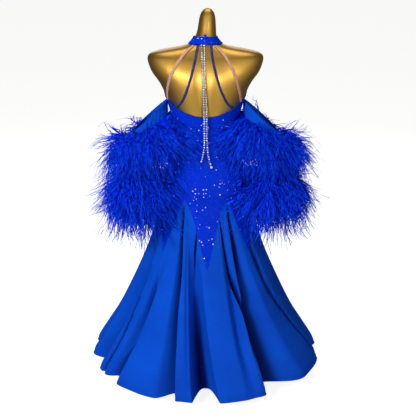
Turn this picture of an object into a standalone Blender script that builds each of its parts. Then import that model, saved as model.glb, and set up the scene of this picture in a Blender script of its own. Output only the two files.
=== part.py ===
"""Ballroom gown on a limbless dress form, at real size, in metres, +Z up.

The photographed back of the gown faces -Y and the wearer's front faces +Y. The origin is the
centre of the stand's base, on the floor. Angles go round the body from the centre back,
0 degrees at -Y, through the wearer's right side, 90 degrees at +X, to the front at 180 degrees.
"""

import math

import bmesh
import bpy
from mathutils import Vector

# Driving sizes
WALL = 0.0012
SEAM_GAP = 0.0004
SEAM_DROP = 0.0016
HEM_HEIGHT = 0.055
BAND_TOP = 0.135
CLOTH_EASE = 0.0052
BUST_BRIDGING = 1.25
NECKBAND_EASE = 0.0055
SIDE_TOP = 1.147
STRAP_DIAMETER = 0.0068
STRAP_OFF_BACK = 0.0018
STRAP_FOOT_RISE = 0.0054
CHAIN_DIAMETER = 0.0065

# Stand
BASE_RADIUS = 0.165
BASE_THICKNESS = 0.012
POLE_RADIUS = 0.0125
FLANGE_RADIUS = 0.045
FLANGE_THICKNESS = 0.009
JOINT_GAP = 0.0003

# Dress form, a row for each section: height, half width, depth to the front, depth to the
# back, squareness of the outline
FORM = (
    (0.700, 0.1300, 0.0850, 0.0950, 2.2),
    (0.708, 0.1480, 0.0975, 0.1110, 2.2),
    (0.735, 0.1580, 0.1035, 0.1200, 2.2),
    (0.770, 0.1625, 0.1060, 0.1240, 2.2),
    (0.810, 0.1615, 0.1050, 0.1230, 2.2),
    (0.852, 0.1530, 0.1010, 0.1130, 2.2),
    (0.888, 0.1400, 0.0965, 0.1000, 2.2),
    (0.922, 0.1275, 0.0920, 0.0890, 2.2),
    (0.955, 0.1185, 0.0885, 0.0815, 2.2),
    (0.988, 0.1150, 0.0880, 0.0775, 2.2),
    (1.020, 0.1165, 0.0900, 0.0775, 2.2),
    (1.055, 0.1225, 0.0950, 0.0800, 2.2),
    (1.092, 0.1330, 0.1020, 0.0850, 2.25),
    (1.128, 0.1440, 0.1070, 0.0905, 2.3),
    (1.162, 0.1560, 0.1070, 0.0945, 2.4),
    (1.197, 0.1740, 0.1010, 0.0965, 2.5),
    (1.232, 0.1985, 0.0920, 0.0950, 2.6),
    (1.264, 0.2110, 0.0800, 0.0895, 2.7),
    (1.287, 0.2130, 0.0685, 0.0810, 2.8),
    (1.299, 0.2020, 0.0615, 0.0730, 2.8),
    (1.308, 0.1760, 0.0570, 0.0670, 2.6),
    (1.316, 0.1350, 0.0540, 0.0625, 2.3),
    (1.323, 0.0930, 0.0520, 0.0590, 2.1),
    (1.331, 0.0640, 0.0490, 0.0550, 2.0),
    (1.337, 0.0560, 0.0458, 0.0508, 2.0),
    (1.345, 0.0482, 0.0425, 0.0468, 2.0),
    (1.359, 0.0390, 0.0370, 0.0395, 2.0),
    (1.378, 0.0345, 0.0340, 0.0350, 2.0),
    (1.404, 0.0315, 0.0315, 0.0320, 2.0),
    (1.428, 0.0280, 0.0280, 0.0280, 2.0),
    (1.444, 0.0225, 0.0225, 0.0225, 2.0),
    (1.454, 0.0135, 0.0135, 0.0135, 2.0),
)
FORM_TOP = 1.458
FORM_COLUMNS = 32
# The neck leans a little to the wearer's right: height and how far
NECK_LEAN = ((1.337, 0.0), (1.3595, 0.0022), (1.385, 0.0052), (1.454, 0.0085))
BUST = {"height": 1.128, "rise": 0.058, "angle": 149.0, "spread": 27.0, "depth": 0.015}
SPINE = {"height": 1.080, "rise": 0.130, "angle": 0.0, "spread": 13.0, "depth": -0.0055}
BLADE = {"height": 1.225, "rise": 0.060, "angle": 24.0, "spread": 15.0, "depth": 0.0050}

# Flare of the gown below the hip, in the columns of FORM
FLARE = (
    (0.055, 0.480, 0.400, 0.412, 2.0),
    (0.085, 0.470, 0.390, 0.402, 2.0),
    (0.165, 0.421, 0.346, 0.356, 2.0),
    (0.245, 0.371, 0.300, 0.310, 2.0),
    (0.355, 0.315, 0.248, 0.260, 2.0),
    (0.515, 0.243, 0.182, 0.200, 2.0),
    (0.616, 0.208, 0.146, 0.166, 2.05),
    (0.700, 0.184, 0.122, 0.142, 2.1),
    (0.740, 0.1740, 0.1145, 0.1335, 2.15),
    (0.780, 0.1705, 0.1125, 0.1320, 2.2),
    (0.818, 0.1665, 0.1105, 0.1285, 2.2),
)

# Zigzag seam between the sequined body and the skirt: angle, height. It leaves each peak in a
# round arch and runs into each tip steeply, by the power SEAM_BOW
SEAM_BOW = 1.6
CENTRE_BACK = 2.0
ZIGZAG = (
    (-90.0, 0.742),
    (-52.5, 0.558),
    (-33.8, 0.758),
    (CENTRE_BACK, 0.505),
    (34.6, 0.758),
    (52.5, 0.558),
    (90.0, 0.742),
    (119.0, 0.538),
    (146.2, 0.756),
    (180.0, 0.505),
    (213.8, 0.756),
    (241.0, 0.538),
    (270.0, 0.742),
    (307.5, 0.558),
)

# Godets of the skirt: name, seam angles of the two tips and of the peak between them, and
# where the same three lines arrive at the hem
GODETS = (
    ("back_left", -52.5, -33.8, CENTRE_BACK, -65.0, -18.5, 12.5),
    ("back_right", CENTRE_BACK, 34.6, 52.5, 12.5, 38.5, 69.0),
    ("side_right", 52.5, 90.0, 119.0, 69.0, 86.0, 117.0),
    ("front_right", 119.0, 146.2, 180.0, 117.0, 148.5, 180.0),
    ("front_left", 180.0, 213.8, 241.0, 180.0, 211.0, 241.0),
    ("side_left", 241.0, 270.0, 307.5, 241.0, 269.0, 295.0),
)
PEAK_PULL = 1.6

# Folds of the skirt: angle at the hem, reach to the left and right, depth at the hem,
# depth half way down, share of the height where it starts
FOLDS = (
    (-56.5, 5.5, 6.0, 0.034, 0.014, 0.15),
    (-18.5, 10.0, 4.0, 0.052, 0.034, 0.0),
    (-7.5, 3.2, 3.2, 0.000, 0.012, 0.0),
    (-0.2, 7.0, 8.0, 0.100, 0.030, 0.06),
    (27.0, 6.0, 5.0, 0.004, 0.026, 0.0),
    (38.5, 5.5, 22.0, 0.082, 0.046, 0.0),
    (86.0, 6.5, 8.0, 0.055, 0.032, 0.0),
    (104.0, 7.5, 7.0, 0.045, 0.020, 0.05),
    (131.0, 7.0, 6.5, 0.050, 0.024, 0.02),
    (148.5, 6.5, 8.0, 0.070, 0.040, 0.0),
    (168.0, 6.5, 7.0, 0.050, 0.022, 0.05),
    (193.0, 7.0, 6.5, 0.050, 0.022, 0.05),
    (211.0, 7.0, 8.5, 0.074, 0.040, 0.0),
    (230.0, 6.0, 6.0, 0.040, 0.024, 0.05),
    (252.0, 6.0, 7.0, 0.050, 0.022, 0.04),
    (269.0, 6.5, 6.0, 0.062, 0.036, 0.0),
    (286.0, 10.0, 5.5, 0.062, 0.028, 0.02),
)
# The fold that opens as an arch at the hem has a flat floor and steep sides
ARCH = -0.2
SHALLOW_FOLD = 0.050
GODET_LEVELS = (0.0, 0.05, 0.14, 0.26, 0.40, 0.55, 0.70, 0.85, 1.0)
BAND_LEVELS = (0.0, 0.5, 1.0)
WIDEST_COLUMN = 9.5
NARROWEST_COLUMN = 1.9

# Back neckline, angle from the centre back and height
BACK_NECKLINE = (
    (0.0, 1.0710),
    (25.0, 1.0760),
    (45.0, 1.0880),
    (60.0, 1.1030),
    (71.0, 1.1240),
    (80.0, 1.1370),
    (90.0, 1.1470),
)
# Halter edge of the front: height and angle from the centre front
HALTER = (
    (1.147, 90.0),
    (1.160, 84.0),
    (1.182, 72.0),
    (1.216, 58.0),
    (1.260, 46.5),
    (1.300, 42.0),
    (1.330, 43.0),
)
HIP_HEIGHT = 0.785
HIP_ROWS = 3
WAIST_HEIGHTS = (0.832, 0.880)
UPPER_SHARES = (0.20, 0.45, 0.72, 1.0)
HALTER_ROWS = 6

# Neckband: heights at the nape, and how much lower it lies at the throat
NECKBAND = {"low": 1.3365, "high": 1.3595, "throat_drop": 0.004, "columns": 32, "half_opening": 0.5}
NECK_BUTTON = {"width": 0.009, "depth": 0.004, "height": 0.010, "above": 0.003}

# Sleeve on the +X side, from the open top to the cuff: centre x, height, half width, half
# depth, and how far the body side is tilted up
SLEEVE = (
    (0.2120, 1.0640, 0.0930, 0.0620, 42.0),
    (0.2270, 1.0240, 0.0950, 0.0670, 28.0),
    (0.2320, 1.0050, 0.0930, 0.0670, 24.0),
    (0.2440, 0.9550, 0.0850, 0.0610, 10.0),
    (0.2600, 0.9050, 0.0680, 0.0540, 2.0),
    (0.2680, 0.8560, 0.0600, 0.0490, 0.0),
    (0.2700, 0.8370, 0.0590, 0.0480, 0.0),
    (0.2730, 0.7750, 0.0640, 0.0520, 0.0),
)
SLEEVE_COLUMNS = 22
SLEEVE_GAP = 0.0009

# Feather bands: the SLEEVE section above the band and the one below it, and for each of
# its three rows of locks the rise where they leave the band, their droop and their length
FEATHERS = {
    "upper": {"sections": (1, 2), "rows": ((-40.0, 0.20, 0.137), (-6.0, 0.28, 0.155), (44.0, 0.12, 0.130))},
    "lower": {"sections": (5, 6), "rows": ((-70.0, 0.12, 0.235), (-40.0, 0.30, 0.190), (0.0, 0.20, 0.150))},
}
# Outline of a feather band: distance out from the sleeve, place along it
STRIP = (
    (0.0004, -0.0080),
    (0.0040, -0.0092),
    (0.0066, -0.0032),
    (0.0066, 0.0032),
    (0.0040, 0.0092),
    (0.0004, 0.0080),
)
LOCK_STEPS = ((0.30, 1.25), (0.65, 1.00))
LOCK_HALF_THICKNESS = 0.0030
LOCK_CLEARANCE = 0.017
NO_ROOM_INWARD = 0.80

# Straps over the bare back: x and height of the points that they pass, from the neckband
# down; each ends on the neckline under its last x
NUDE_LEFT = ((-0.043, 1.3295), (-0.073, 1.306), (-0.104, 1.266), (-0.127, 1.220), (-0.139, 1.172), (-0.1395, 1.124))
NUDE_RIGHT = ((0.036, 1.3295), (0.066, 1.302), (0.092, 1.262), (0.112, 1.214), (0.126, 1.162), (0.132, 1.116))
BLUE_LEFT = ((-0.027, 1.3295), (-0.034, 1.295), (-0.046, 1.245), (-0.064, 1.185), (-0.086, 1.132), (-0.110, 1.096))
BLUE_RIGHT = ((0.021, 1.3295), (0.026, 1.290), (0.038, 1.236), (0.056, 1.178), (0.082, 1.124), (0.106, 1.094))
STRAP_POINTS = 12

# Free chain strands: x and height of the points that they pass. They lie on the form's back,
# then hang straight down from where it stands out furthest
CHAIN_LEFT = (
    (-0.0135, 1.3295),
    (-0.0125, 1.3050),
    (-0.0115, 1.2700),
    (-0.0090, 1.2100),
    (-0.0055, 1.1200),
    (-0.0040, 1.0500),
    (-0.0040, 0.9800),
    (-0.0070, 0.9450),
    (-0.0150, 0.9120),
)
CHAIN_RIGHT = (
    (-0.0045, 1.3295),
    (-0.0035, 1.3050),
    (-0.0025, 1.2700),
    (0.0000, 1.2100),
    (0.0035, 1.1200),
    (0.0050, 1.0500),
    (0.0060, 0.9800),
    (0.0100, 0.9350),
    (0.0210, 0.8950),
)
CHAIN_OFF_BACK = 0.0018
CHAIN_OFF_GOWN = 0.0036
CHAIN_POINTS = 24
PENDANT_RADIUS = 0.0050

COLOURS = {
    "gold": ((0.62, 0.39, 0.09, 1.0), 0.28, 1.0),
    "steel": ((0.60, 0.60, 0.61, 1.0), 0.30, 1.0),
    "sequin_jersey": ((0.004, 0.028, 0.58, 1.0), 0.45, 0.0),
    "chiffon": ((0.006, 0.065, 0.55, 1.0), 0.75, 0.0),
    "horsehair_hem": ((0.005, 0.055, 0.48, 1.0), 0.70, 0.0),
    "feather": ((0.003, 0.016, 0.68, 1.0), 0.80, 0.0),
    "nude_elastic": ((0.62, 0.36, 0.25, 1.0), 0.60, 0.0),
    "blue_stones": ((0.010, 0.020, 0.24, 1.0), 0.20, 0.0),
    "clear_stones": ((0.75, 0.80, 0.84, 1.0), 0.10, 0.0),
}


def clear_scene():
    for thing in list(bpy.data.objects):
        bpy.data.objects.remove(thing)


def material(slot):
    found = bpy.data.materials.get(slot)
    if found:
        return found
    colour, roughness, metallic = COLOURS[slot]
    made = bpy.data.materials.new(slot)
    made.use_nodes = True
    shader = made.node_tree.nodes["Principled BSDF"]
    shader.inputs["Base Color"].default_value = colour
    shader.inputs["Roughness"].default_value = roughness
    shader.inputs["Metallic"].default_value = metallic
    return made


def smooth_read(rows, at):
    """A row of a table at any value of its first column, on a smooth curve through the rows."""
    keys = [row[0] for row in rows]
    if at <= keys[0]:
        return rows[0][1:]
    if at >= keys[-1]:
        return rows[-1][1:]
    i = max(k for k in range(len(keys) - 1) if keys[k] <= at)
    span = keys[i + 1] - keys[i]
    t = (at - keys[i]) / span

    def slope(k, column):
        low, high = max(k - 1, 0), min(k + 1, len(rows) - 1)
        return (rows[high][column] - rows[low][column]) / (keys[high] - keys[low]) * span

    values = []
    for column in range(1, len(rows[0])):
        start, end = rows[i][column], rows[i + 1][column]
        values.append(
            start * (1 + 2 * t) * (1 - t) ** 2
            + slope(i, column) * t * (1 - t) ** 2
            + end * t * t * (3 - 2 * t)
            + slope(i + 1, column) * t * t * (t - 1)
        )
    return tuple(values)


def straight_read(rows, at):
    """The second column of a two-column table, on straight lines between the rows."""
    for (start, low), (end, high) in zip(rows, rows[1:]):
        if start <= at <= end:
            return low + (high - low) * (at - start) / (end - start)
    return rows[0][1] if at < rows[0][0] else rows[-1][1]


def seam_height(angle):
    """Height of the zigzag seam at any angle."""
    for (start, low), (end, high) in zip(ZIGZAG, ZIGZAG[1:]):
        if start <= angle <= end:
            peak, top, tip, foot = (end, high, start, low) if high > low else (start, low, end, high)
            return top + (foot - top) * (abs(angle - peak) / abs(tip - peak)) ** SEAM_BOW
    return straight_read(ZIGZAG, angle)


def outline_radius(angle, half_width, front, back, squareness):
    """Distance from the axis to a rounded section, in the direction of angle."""
    across = abs(math.sin(math.radians(angle)))
    along = math.cos(math.radians(angle))
    depth = back if along > 0 else front
    share = (across / half_width) ** squareness + (abs(along) / depth) ** squareness
    return share ** (-1 / squareness)


def turn_between(angle, centre):
    """The smaller turn from centre to angle, in degrees."""
    return abs((angle - centre + 180.0) % 360.0 - 180.0)


def swelling(angle, height, form):
    """A soft mound or hollow, round one place of the body."""
    up = math.exp(-(((height - form["height"]) / form["rise"]) ** 2))
    round_it = math.exp(-((turn_between(angle, form["angle"]) / form["spread"]) ** 2))
    return form["depth"] * up * round_it


def bust_swelling(angle, height):
    mirrored = dict(BUST, angle=-BUST["angle"])
    return swelling(angle, height, BUST) + swelling(angle, height, mirrored)


def form_radius(angle, height):
    base = outline_radius(angle, *smooth_read(FORM, height))
    blades = swelling(angle, height, BLADE) + swelling(-angle, height, BLADE)
    return base + bust_swelling(angle, height) + swelling(angle, height, SPINE) + blades


def gown_sections():
    """Sections of the gown's outer face: the flare below, and the form with its ease above."""
    above = [row for row in FORM if FLARE[-1][0] < row[0] <= 1.335]
    eased = [(row[0],) + tuple(size + CLOTH_EASE for size in row[1:4]) + (row[4],) for row in above]
    return tuple(FLARE) + tuple(eased)


GOWN = gown_sections()


def gown_radius(angle, height):
    bridged = bust_swelling(angle, height) * BUST_BRIDGING
    return outline_radius(angle, *smooth_read(GOWN, height)) + bridged


def around(angle, radius, height):
    turn = math.radians(angle)
    return Vector((radius * math.sin(turn), -radius * math.cos(turn), height))


def add_object(name, mesh, slot):
    piece = bpy.data.objects.new(name, mesh)
    bpy.data.collections["ballroom_gown"].objects.link(piece)
    mesh.materials.append(material(slot))
    mesh.shade_smooth()
    return piece


def cloth_grid(name, rows, slot, closed=False):
    """An open sheet through rows of points, thickened inwards into a wall of cloth."""
    sheet = bmesh.new()
    points = [[sheet.verts.new(point) for point in row] for row in rows]
    columns = len(rows[0])
    for low, high in zip(points, points[1:]):
        for c in range(columns if closed else columns - 1):
            d = (c + 1) % columns
            sheet.faces.new((low[c], low[d], high[d], high[c]))
    mesh = bpy.data.meshes.new(name)
    sheet.to_mesh(mesh)
    sheet.free()
    piece = add_object(name, mesh, slot)
    wall = piece.modifiers.new("wall", "SOLIDIFY")
    wall.thickness = WALL
    wall.offset = -1.0
    return piece


def between(start, end, step):
    """Values from start to end, evenly spaced and at most step apart."""
    count = max(1, math.ceil((end - start) / step))
    return [start + (end - start) * k / count for k in range(count + 1)]


def smooth_path(points, count):
    """Points on a smooth curve through a route's own points, evenly spaced in its length."""
    keyed = [(0.0,) + tuple(points[0])]
    for before, after in zip(points, points[1:]):
        step = (Vector(after) - Vector(before)).length
        keyed.append((keyed[-1][0] + step,) + tuple(after))
    return [Vector(smooth_read(keyed, keyed[-1][0] * k / (count - 1))) for k in range(count)]


def tube(name, points, diameter, slot, resolution=2):
    curve = bpy.data.curves.new(name, "CURVE")
    curve.dimensions = "3D"
    curve.bevel_depth = diameter / 2
    curve.bevel_resolution = resolution
    curve.use_fill_caps = True
    spline = curve.splines.new("POLY")
    spline.points.add(len(points) - 1)
    for knot, point in zip(spline.points, points):
        knot.co = (*point, 1.0)
    piece = bpy.data.objects.new(name, curve)
    bpy.data.collections["ballroom_gown"].objects.link(piece)
    curve.materials.append(material(slot))
    return piece


def cylinder(name, radius, low, high, segments, slot, bevel=0.0):
    solid = bmesh.new()
    bmesh.ops.create_cone(solid, cap_ends=True, segments=segments, radius1=radius, radius2=radius, depth=high - low)
    mesh = bpy.data.meshes.new(name)
    solid.to_mesh(mesh)
    solid.free()
    piece = add_object(name, mesh, slot)
    mesh.set_sharp_from_angle(angle=math.radians(40))
    piece.location.z = (low + high) / 2
    if bevel:
        edge = piece.modifiers.new("edge", "BEVEL")
        edge.width = bevel
        edge.segments = 1
    return piece


def stand():
    """The round base, the pole and the flange under the form, each on the one below."""
    pole_foot = BASE_THICKNESS + JOINT_GAP
    flange_top = FORM[0][0] - JOINT_GAP
    flange_foot = flange_top - FLANGE_THICKNESS
    cylinder("stand_base", BASE_RADIUS, 0.0, BASE_THICKNESS, 40, "steel", bevel=0.003)
    cylinder("stand_pole", POLE_RADIUS, pole_foot, flange_foot - JOINT_GAP, 24, "steel")
    cylinder("stand_flange", FLANGE_RADIUS, flange_foot, flange_top, 24, "steel")


def neck_lean(height):
    return Vector((smooth_read(NECK_LEAN, height)[0], 0.0, 0.0))


def dress_form():
    """The smooth limbless body with its round shoulder ends and finger-like neck."""
    body = bmesh.new()
    rings = []
    for row in FORM:
        turns = [360.0 * c / FORM_COLUMNS for c in range(FORM_COLUMNS)]
        rings.append([body.verts.new(around(a, form_radius(a, row[0]), row[0]) + neck_lean(row[0])) for a in turns])
    for low, high in zip(rings, rings[1:]):
        for c in range(FORM_COLUMNS):
            d = (c + 1) % FORM_COLUMNS
            body.faces.new((low[c], low[d], high[d], high[c]))
    body.faces.new(list(reversed(rings[0])))
    top = body.verts.new(Vector((0.0, 0.0, FORM_TOP)) + neck_lean(FORM_TOP))
    for c in range(FORM_COLUMNS):
        body.faces.new((rings[-1][c], rings[-1][(c + 1) % FORM_COLUMNS], top))
    mesh = bpy.data.meshes.new("dress_form")
    body.to_mesh(mesh)
    body.free()
    add_object("dress_form", mesh, "gold")
    mesh.set_sharp_from_angle(angle=math.radians(60))


def body_columns(start, end):
    """Columns of a body panel: those of the godets under it, so that the seam's sides match."""
    found = set()
    for godet in GODETS:
        for hem_angle in godet_hem_angles(godet):
            angle = godet_column(godet, hem_angle)[0]
            found.update(round(turned, 6) for turned in (angle, angle - 360.0) if start <= turned <= end)
    columns = sorted(found)
    clear = math.degrees(SEAM_GAP / 2 / gown_radius(start, FLARE[-1][0]))
    columns[0] += clear
    columns[-1] -= clear
    return columns


def body_rows(columns, top_of):
    """Rows of a body panel, from the zigzag up to the height that top_of gives."""
    rows = []
    for k in range(HIP_ROWS + 1 + len(WAIST_HEIGHTS) + len(UPPER_SHARES)):
        row = []
        for angle in columns:
            low, last = seam_height(angle), WAIST_HEIGHTS[-1]
            heights = [low + (HIP_HEIGHT - low) * step / HIP_ROWS for step in range(HIP_ROWS + 1)]
            heights += WAIST_HEIGHTS
            heights += [last + (top_of(angle) - last) * share for share in UPPER_SHARES]
            row.append(around(angle, gown_radius(angle, heights[k]), heights[k]))
        rows.append(row)
    return rows


def back_neckline(angle):
    return smooth_read(BACK_NECKLINE, abs(angle))[0]


def back_panel(name, start, end):
    """A back half, from the scooped neckline to the zigzag of the hip."""
    return cloth_grid(name, body_rows(body_columns(start, end), back_neckline), "sequin_jersey")


def neckband_low(angle):
    return NECKBAND["low"] - NECKBAND["throat_drop"] * (1 - math.cos(math.radians(angle))) / 2


def front_panel():
    """The front, with its bust shaping and the halter that rises to the neckband."""
    columns = body_columns(90.0, 270.0)
    rows = body_rows(columns, lambda angle: SIDE_TOP)
    top = neckband_low(180.0) - SEAM_GAP
    for k in range(1, HALTER_ROWS + 1):
        height = SIDE_TOP + (top - SIDE_TOP) * (k / HALTER_ROWS) ** 1.5
        spread = smooth_read(HALTER, height)[0] / 90.0
        turns = [180.0 + (column - 180.0) * spread for column in columns]
        rows.append([around(turn, gown_radius(turn, height), height) for turn in turns])
    return cloth_grid("bodice_front", rows, "sequin_jersey")


def neckband():
    """The collar that closes at the nape, and the button that fastens it."""
    columns = between(NECKBAND["half_opening"], 360.0 - NECKBAND["half_opening"], 360.0 / NECKBAND["columns"])
    height = NECKBAND["high"] - NECKBAND["low"]
    rows = []
    for share in (0.0, 0.5, 1.0):
        row = []
        for angle in columns:
            z = neckband_low(angle) + height * share
            row.append(around(angle, form_radius(angle, z) + NECKBAND_EASE, z))
        rows.append(row)
    cloth_grid("neckband", rows, "sequin_jersey")

    button = bmesh.new()
    bmesh.ops.create_cube(button, size=1.0)
    size = (NECK_BUTTON["width"], NECK_BUTTON["depth"], NECK_BUTTON["height"])
    bmesh.ops.scale(button, vec=size, verts=button.verts)
    mesh = bpy.data.meshes.new("neck_button")
    button.to_mesh(mesh)
    button.free()
    piece = add_object("neck_button", mesh, "sequin_jersey")
    top = NECKBAND["high"] + NECK_BUTTON["above"]
    middle = top - NECK_BUTTON["height"] / 2
    # The band leans in towards the neck, so the button's own foot is where it comes nearest
    face = form_radius(0.0, middle - NECK_BUTTON["height"] / 2) + NECKBAND_EASE
    piece.location = (0.0, -(face + JOINT_GAP + NECK_BUTTON["depth"] / 2), middle)
    edge = piece.modifiers.new("edge", "BEVEL")
    edge.width = 0.0012
    edge.segments = 1


def seam_angle(godet, q, side):
    """Where a column of a godet leaves the zigzag: q is 0 at its peak and 1 at a tip."""
    _, from_tip, peak, to_tip, _, _, _ = godet
    tip = to_tip if side > 0 else from_tip
    return peak + (tip - peak) * q**PEAK_PULL


def godet_column(godet, hem_angle):
    """Seam angle and seam height of the column that reaches the hem at hem_angle."""
    _, _, _, _, hem_from, hem_peak, hem_to = godet
    side = 1 if hem_angle >= hem_peak else -1
    end = hem_to if side > 0 else hem_from
    angle = seam_angle(godet, abs(hem_angle - hem_peak) / abs(end - hem_peak), side)
    return angle, seam_height(angle) - SEAM_DROP


def fold_depth(hem_angle, share):
    """How far the cloth lies inside the flare, at a share of the way down its column."""
    total = 0.0
    for centre, left, right, at_hem, half_way, start in FOLDS:
        away = (hem_angle - centre + 180.0) % 360.0 - 180.0
        reach = left if away < 0 else right
        run = (share - start) / (1.0 - start)
        if abs(away) < reach and run > 0:
            depth = at_hem * run**1.5 + half_way * 5.4 * run**1.5 * (1 - run)
            u = abs(away) / reach
            total += depth * (1 - u**3 if centre == ARCH else math.cos(math.pi / 2 * u) ** 2)
    return total


def skirt_point(godet, hem_angle, height, seam):
    start_angle, start_height = seam
    share = (start_height - height) / (start_height - HEM_HEIGHT)
    angle = start_angle + (hem_angle - start_angle) * share
    radius = gown_radius(angle, height) - fold_depth(hem_angle, share)
    return around(angle, radius, height)


def godet_hem_angles(godet):
    """Columns of a godet at the hem: its seams and peak, the folds' flanks, and what fills the gaps."""
    _, _, _, _, start, peak, end = godet
    wanted = [start, end, peak]
    for centre, left, right, at_hem, half_way, _ in FOLDS:
        for turn in (centre, centre - 360.0):
            wanted += [turn, turn - left, turn + right]
            if max(at_hem, half_way) > SHALLOW_FOLD:
                wanted += [turn - left / 2, turn + right / 2]
    columns = [start, end]
    for angle in wanted:
        room = min(abs(angle - other) for other in columns)
        if start < angle < end and room >= NARROWEST_COLUMN:
            columns.append(angle)
    columns.sort()
    filled = []
    for low, high in zip(columns, columns[1:]):
        filled += between(low, high, WIDEST_COLUMN)[:-1]
    return filled + [end]


def skirt():
    """Six godets set into the zigzag, each with its stiff hem band."""
    for godet in GODETS:
        name = godet[0]
        hem_angles = godet_hem_angles(godet)
        seams = [godet_column(godet, angle) for angle in hem_angles]
        clear = math.degrees(SEAM_GAP / 2 / 0.2)
        turns = list(hem_angles)
        turns[0] += clear
        turns[-1] -= clear
        seams[0] = (seams[0][0] + clear, seams[0][1])
        seams[-1] = (seams[-1][0] - clear, seams[-1][1])
        panel, band = [], []
        for share in reversed(GODET_LEVELS):
            heights = [low_end - (low_end - BAND_TOP) * share for _, low_end in seams]
            panel.append([skirt_point(godet, a, z, s) for a, z, s in zip(turns, heights, seams)])
        for share in reversed(BAND_LEVELS):
            top = BAND_TOP - JOINT_GAP * 1.5
            height = top - (top - HEM_HEIGHT) * share
            band.append([skirt_point(godet, a, height, s) for a, s in zip(turns, seams)])
        cloth_grid("skirt_" + name, panel, "chiffon")
        cloth_grid("hem_band_" + name, band, "horsehair_hem")


def pressed_off_body(point, clearance):
    """The point, moved straight out from the axis where the gown would be in its way."""
    angle = math.degrees(math.atan2(point.x, -point.y))
    radius = math.hypot(point.x, point.y)
    least = gown_radius(angle, point.z) + clearance
    return point if radius >= least else around(angle, least, point.z)


def sleeve_point(side, section, turn):
    """A point of the sleeve's outer face: turn 0 is away from the body."""
    x, height, half_width, half_depth, tilt = section
    out = half_width * math.cos(math.radians(turn))
    lean = math.radians(tilt)
    across = x + out * math.cos(lean)
    along = half_depth * math.sin(math.radians(turn))
    return pressed_off_body(Vector((across * side, along, height - out * math.sin(lean))), SLEEVE_GAP)


def sleeve_turns(side):
    return [360.0 * c / SLEEVE_COLUMNS * side for c in range(SLEEVE_COLUMNS)]


def sleeve(name, side):
    rows = [[sleeve_point(side, section, turn) for turn in sleeve_turns(side)] for section in reversed(SLEEVE)]
    return cloth_grid(name, rows, "chiffon", closed=True)


def strip_frames(side, sections):
    """For each column of the sleeve between two sections: its middle, the way out and the way up."""
    above, below = (SLEEVE[k] for k in sections)
    tops = [sleeve_point(side, above, turn) for turn in sleeve_turns(side)]
    feet = [sleeve_point(side, below, turn) for turn in sleeve_turns(side)]
    frames = []
    for c, (top, foot) in enumerate(zip(tops, feet)):
        ahead = tops[(c + 1) % SLEEVE_COLUMNS] - tops[c - 1]
        up = (top - foot).normalized()
        frames.append(((top + foot) / 2, ahead.cross(up).normalized(), up))
    return frames


def lock_direction(out, rise):
    lift = math.radians(rise)
    return out * math.cos(lift) + Vector((0.0, 0.0, math.sin(lift)))


def lock_path(root, direction, length, droop, share):
    """A place on a lock that springs out of the band and bends down under its own weight."""
    place = root + direction * length * share + Vector((0.0, 0.0, -droop * length * share**2))
    return pressed_off_body(place, LOCK_CLEARANCE) if share > 0.15 else place


def grow_lock(body, face, out, across, rise, length, droop):
    """Draws one tapering lock out of a face of the band."""
    root = face.calc_center_median()
    direction = lock_direction(out, rise)
    half_width = max(abs((vert.co - root).dot(across)) for vert in face.verts)
    upper = out.cross(across)
    for share, swell in LOCK_STEPS:
        middle = face.calc_center_median()
        sides = [(v.co - middle).dot(across) > 0 for v in face.verts]
        tops = [(v.co - middle).dot(upper) > 0 for v in face.verts]
        face = bmesh.ops.extrude_discrete_faces(body, faces=[face])["faces"][0]
        place = lock_path(root, direction, length, droop, share)
        behind = lock_path(root, direction, length, droop, share - 0.1)
        thick = (place - behind).normalized().cross(across).normalized()
        if thick.dot(upper) < 0:
            thick.negate()
        for vert, right, top in zip(face.verts, sides, tops):
            beside = half_width * swell * (1 if right else -1)
            above = LOCK_HALF_THICKNESS * (1 if top else -1)
            vert.co = place + across * beside + thick * above
        upper = thick
    tip = bmesh.ops.extrude_discrete_faces(body, faces=[face])["faces"][0]
    end = lock_path(root, direction, length, droop, 1.0)
    bmesh.ops.pointmerge(body, verts=list(tip.verts), merge_co=end)


def feather_band(name, side, kind):
    """A ring of ostrich trim: a narrow strip round the sleeve with three rows of locks."""
    facts = FEATHERS[kind]
    body = bmesh.new()
    frames = strip_frames(side, facts["sections"])
    rings = []
    for here, out, up in frames:
        rings.append([body.verts.new(here + out * away + up * along) for away, along in STRIP])
    roots = []
    for c in range(SLEEVE_COLUMNS):
        d = (c + 1) % SLEEVE_COLUMNS
        for k in range(len(STRIP)):
            m = (k + 1) % len(STRIP)
            face = body.faces.new((rings[c][k], rings[d][k], rings[d][m], rings[c][m]))
            row = k - 1
            if 0 <= row < len(facts["rows"]) and (c + row) % 2 == 0:
                roots.append((face, c, row))
    for face, c, row in roots:
        after = frames[(c + 1) % SLEEVE_COLUMNS]
        across = (after[0] - frames[c][0]).normalized()
        out = frames[c][1] + after[1]
        out = Vector((out.x, out.y, 0.0)).normalized()
        rise, droop, length = facts["rows"][row]
        uneven = 1.0 - 0.16 * ((c * 7 + row * 5) % 4) / 3
        inward = max(0.0, -out.x * side)
        if inward > NO_ROOM_INWARD:
            continue
        grow_lock(body, face, out, across, rise, length * uneven * (1 - 0.5 * inward**2), droop)
    bmesh.ops.recalc_face_normals(body, faces=body.faces)
    mesh = bpy.data.meshes.new(name)
    body.to_mesh(mesh)
    body.free()
    add_object(name, mesh, "feather")


def off_back(radius_of, x, height, off):
    """A point off by that much from a back, square to its face, at that x and height."""
    angle = 0.0
    for _ in range(40):
        reach = max(abs(x) * 1.0001, radius_of(angle, height))
        angle = (angle + math.degrees(math.asin(x / reach))) / 2
    here = around(angle, radius_of(angle, height), height)
    along = around(angle + 0.5, radius_of(angle + 0.5, height), height) - here
    up = around(angle, radius_of(angle, height + 0.002), height + 0.002) - here
    return here + along.cross(up).normalized() * off


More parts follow.
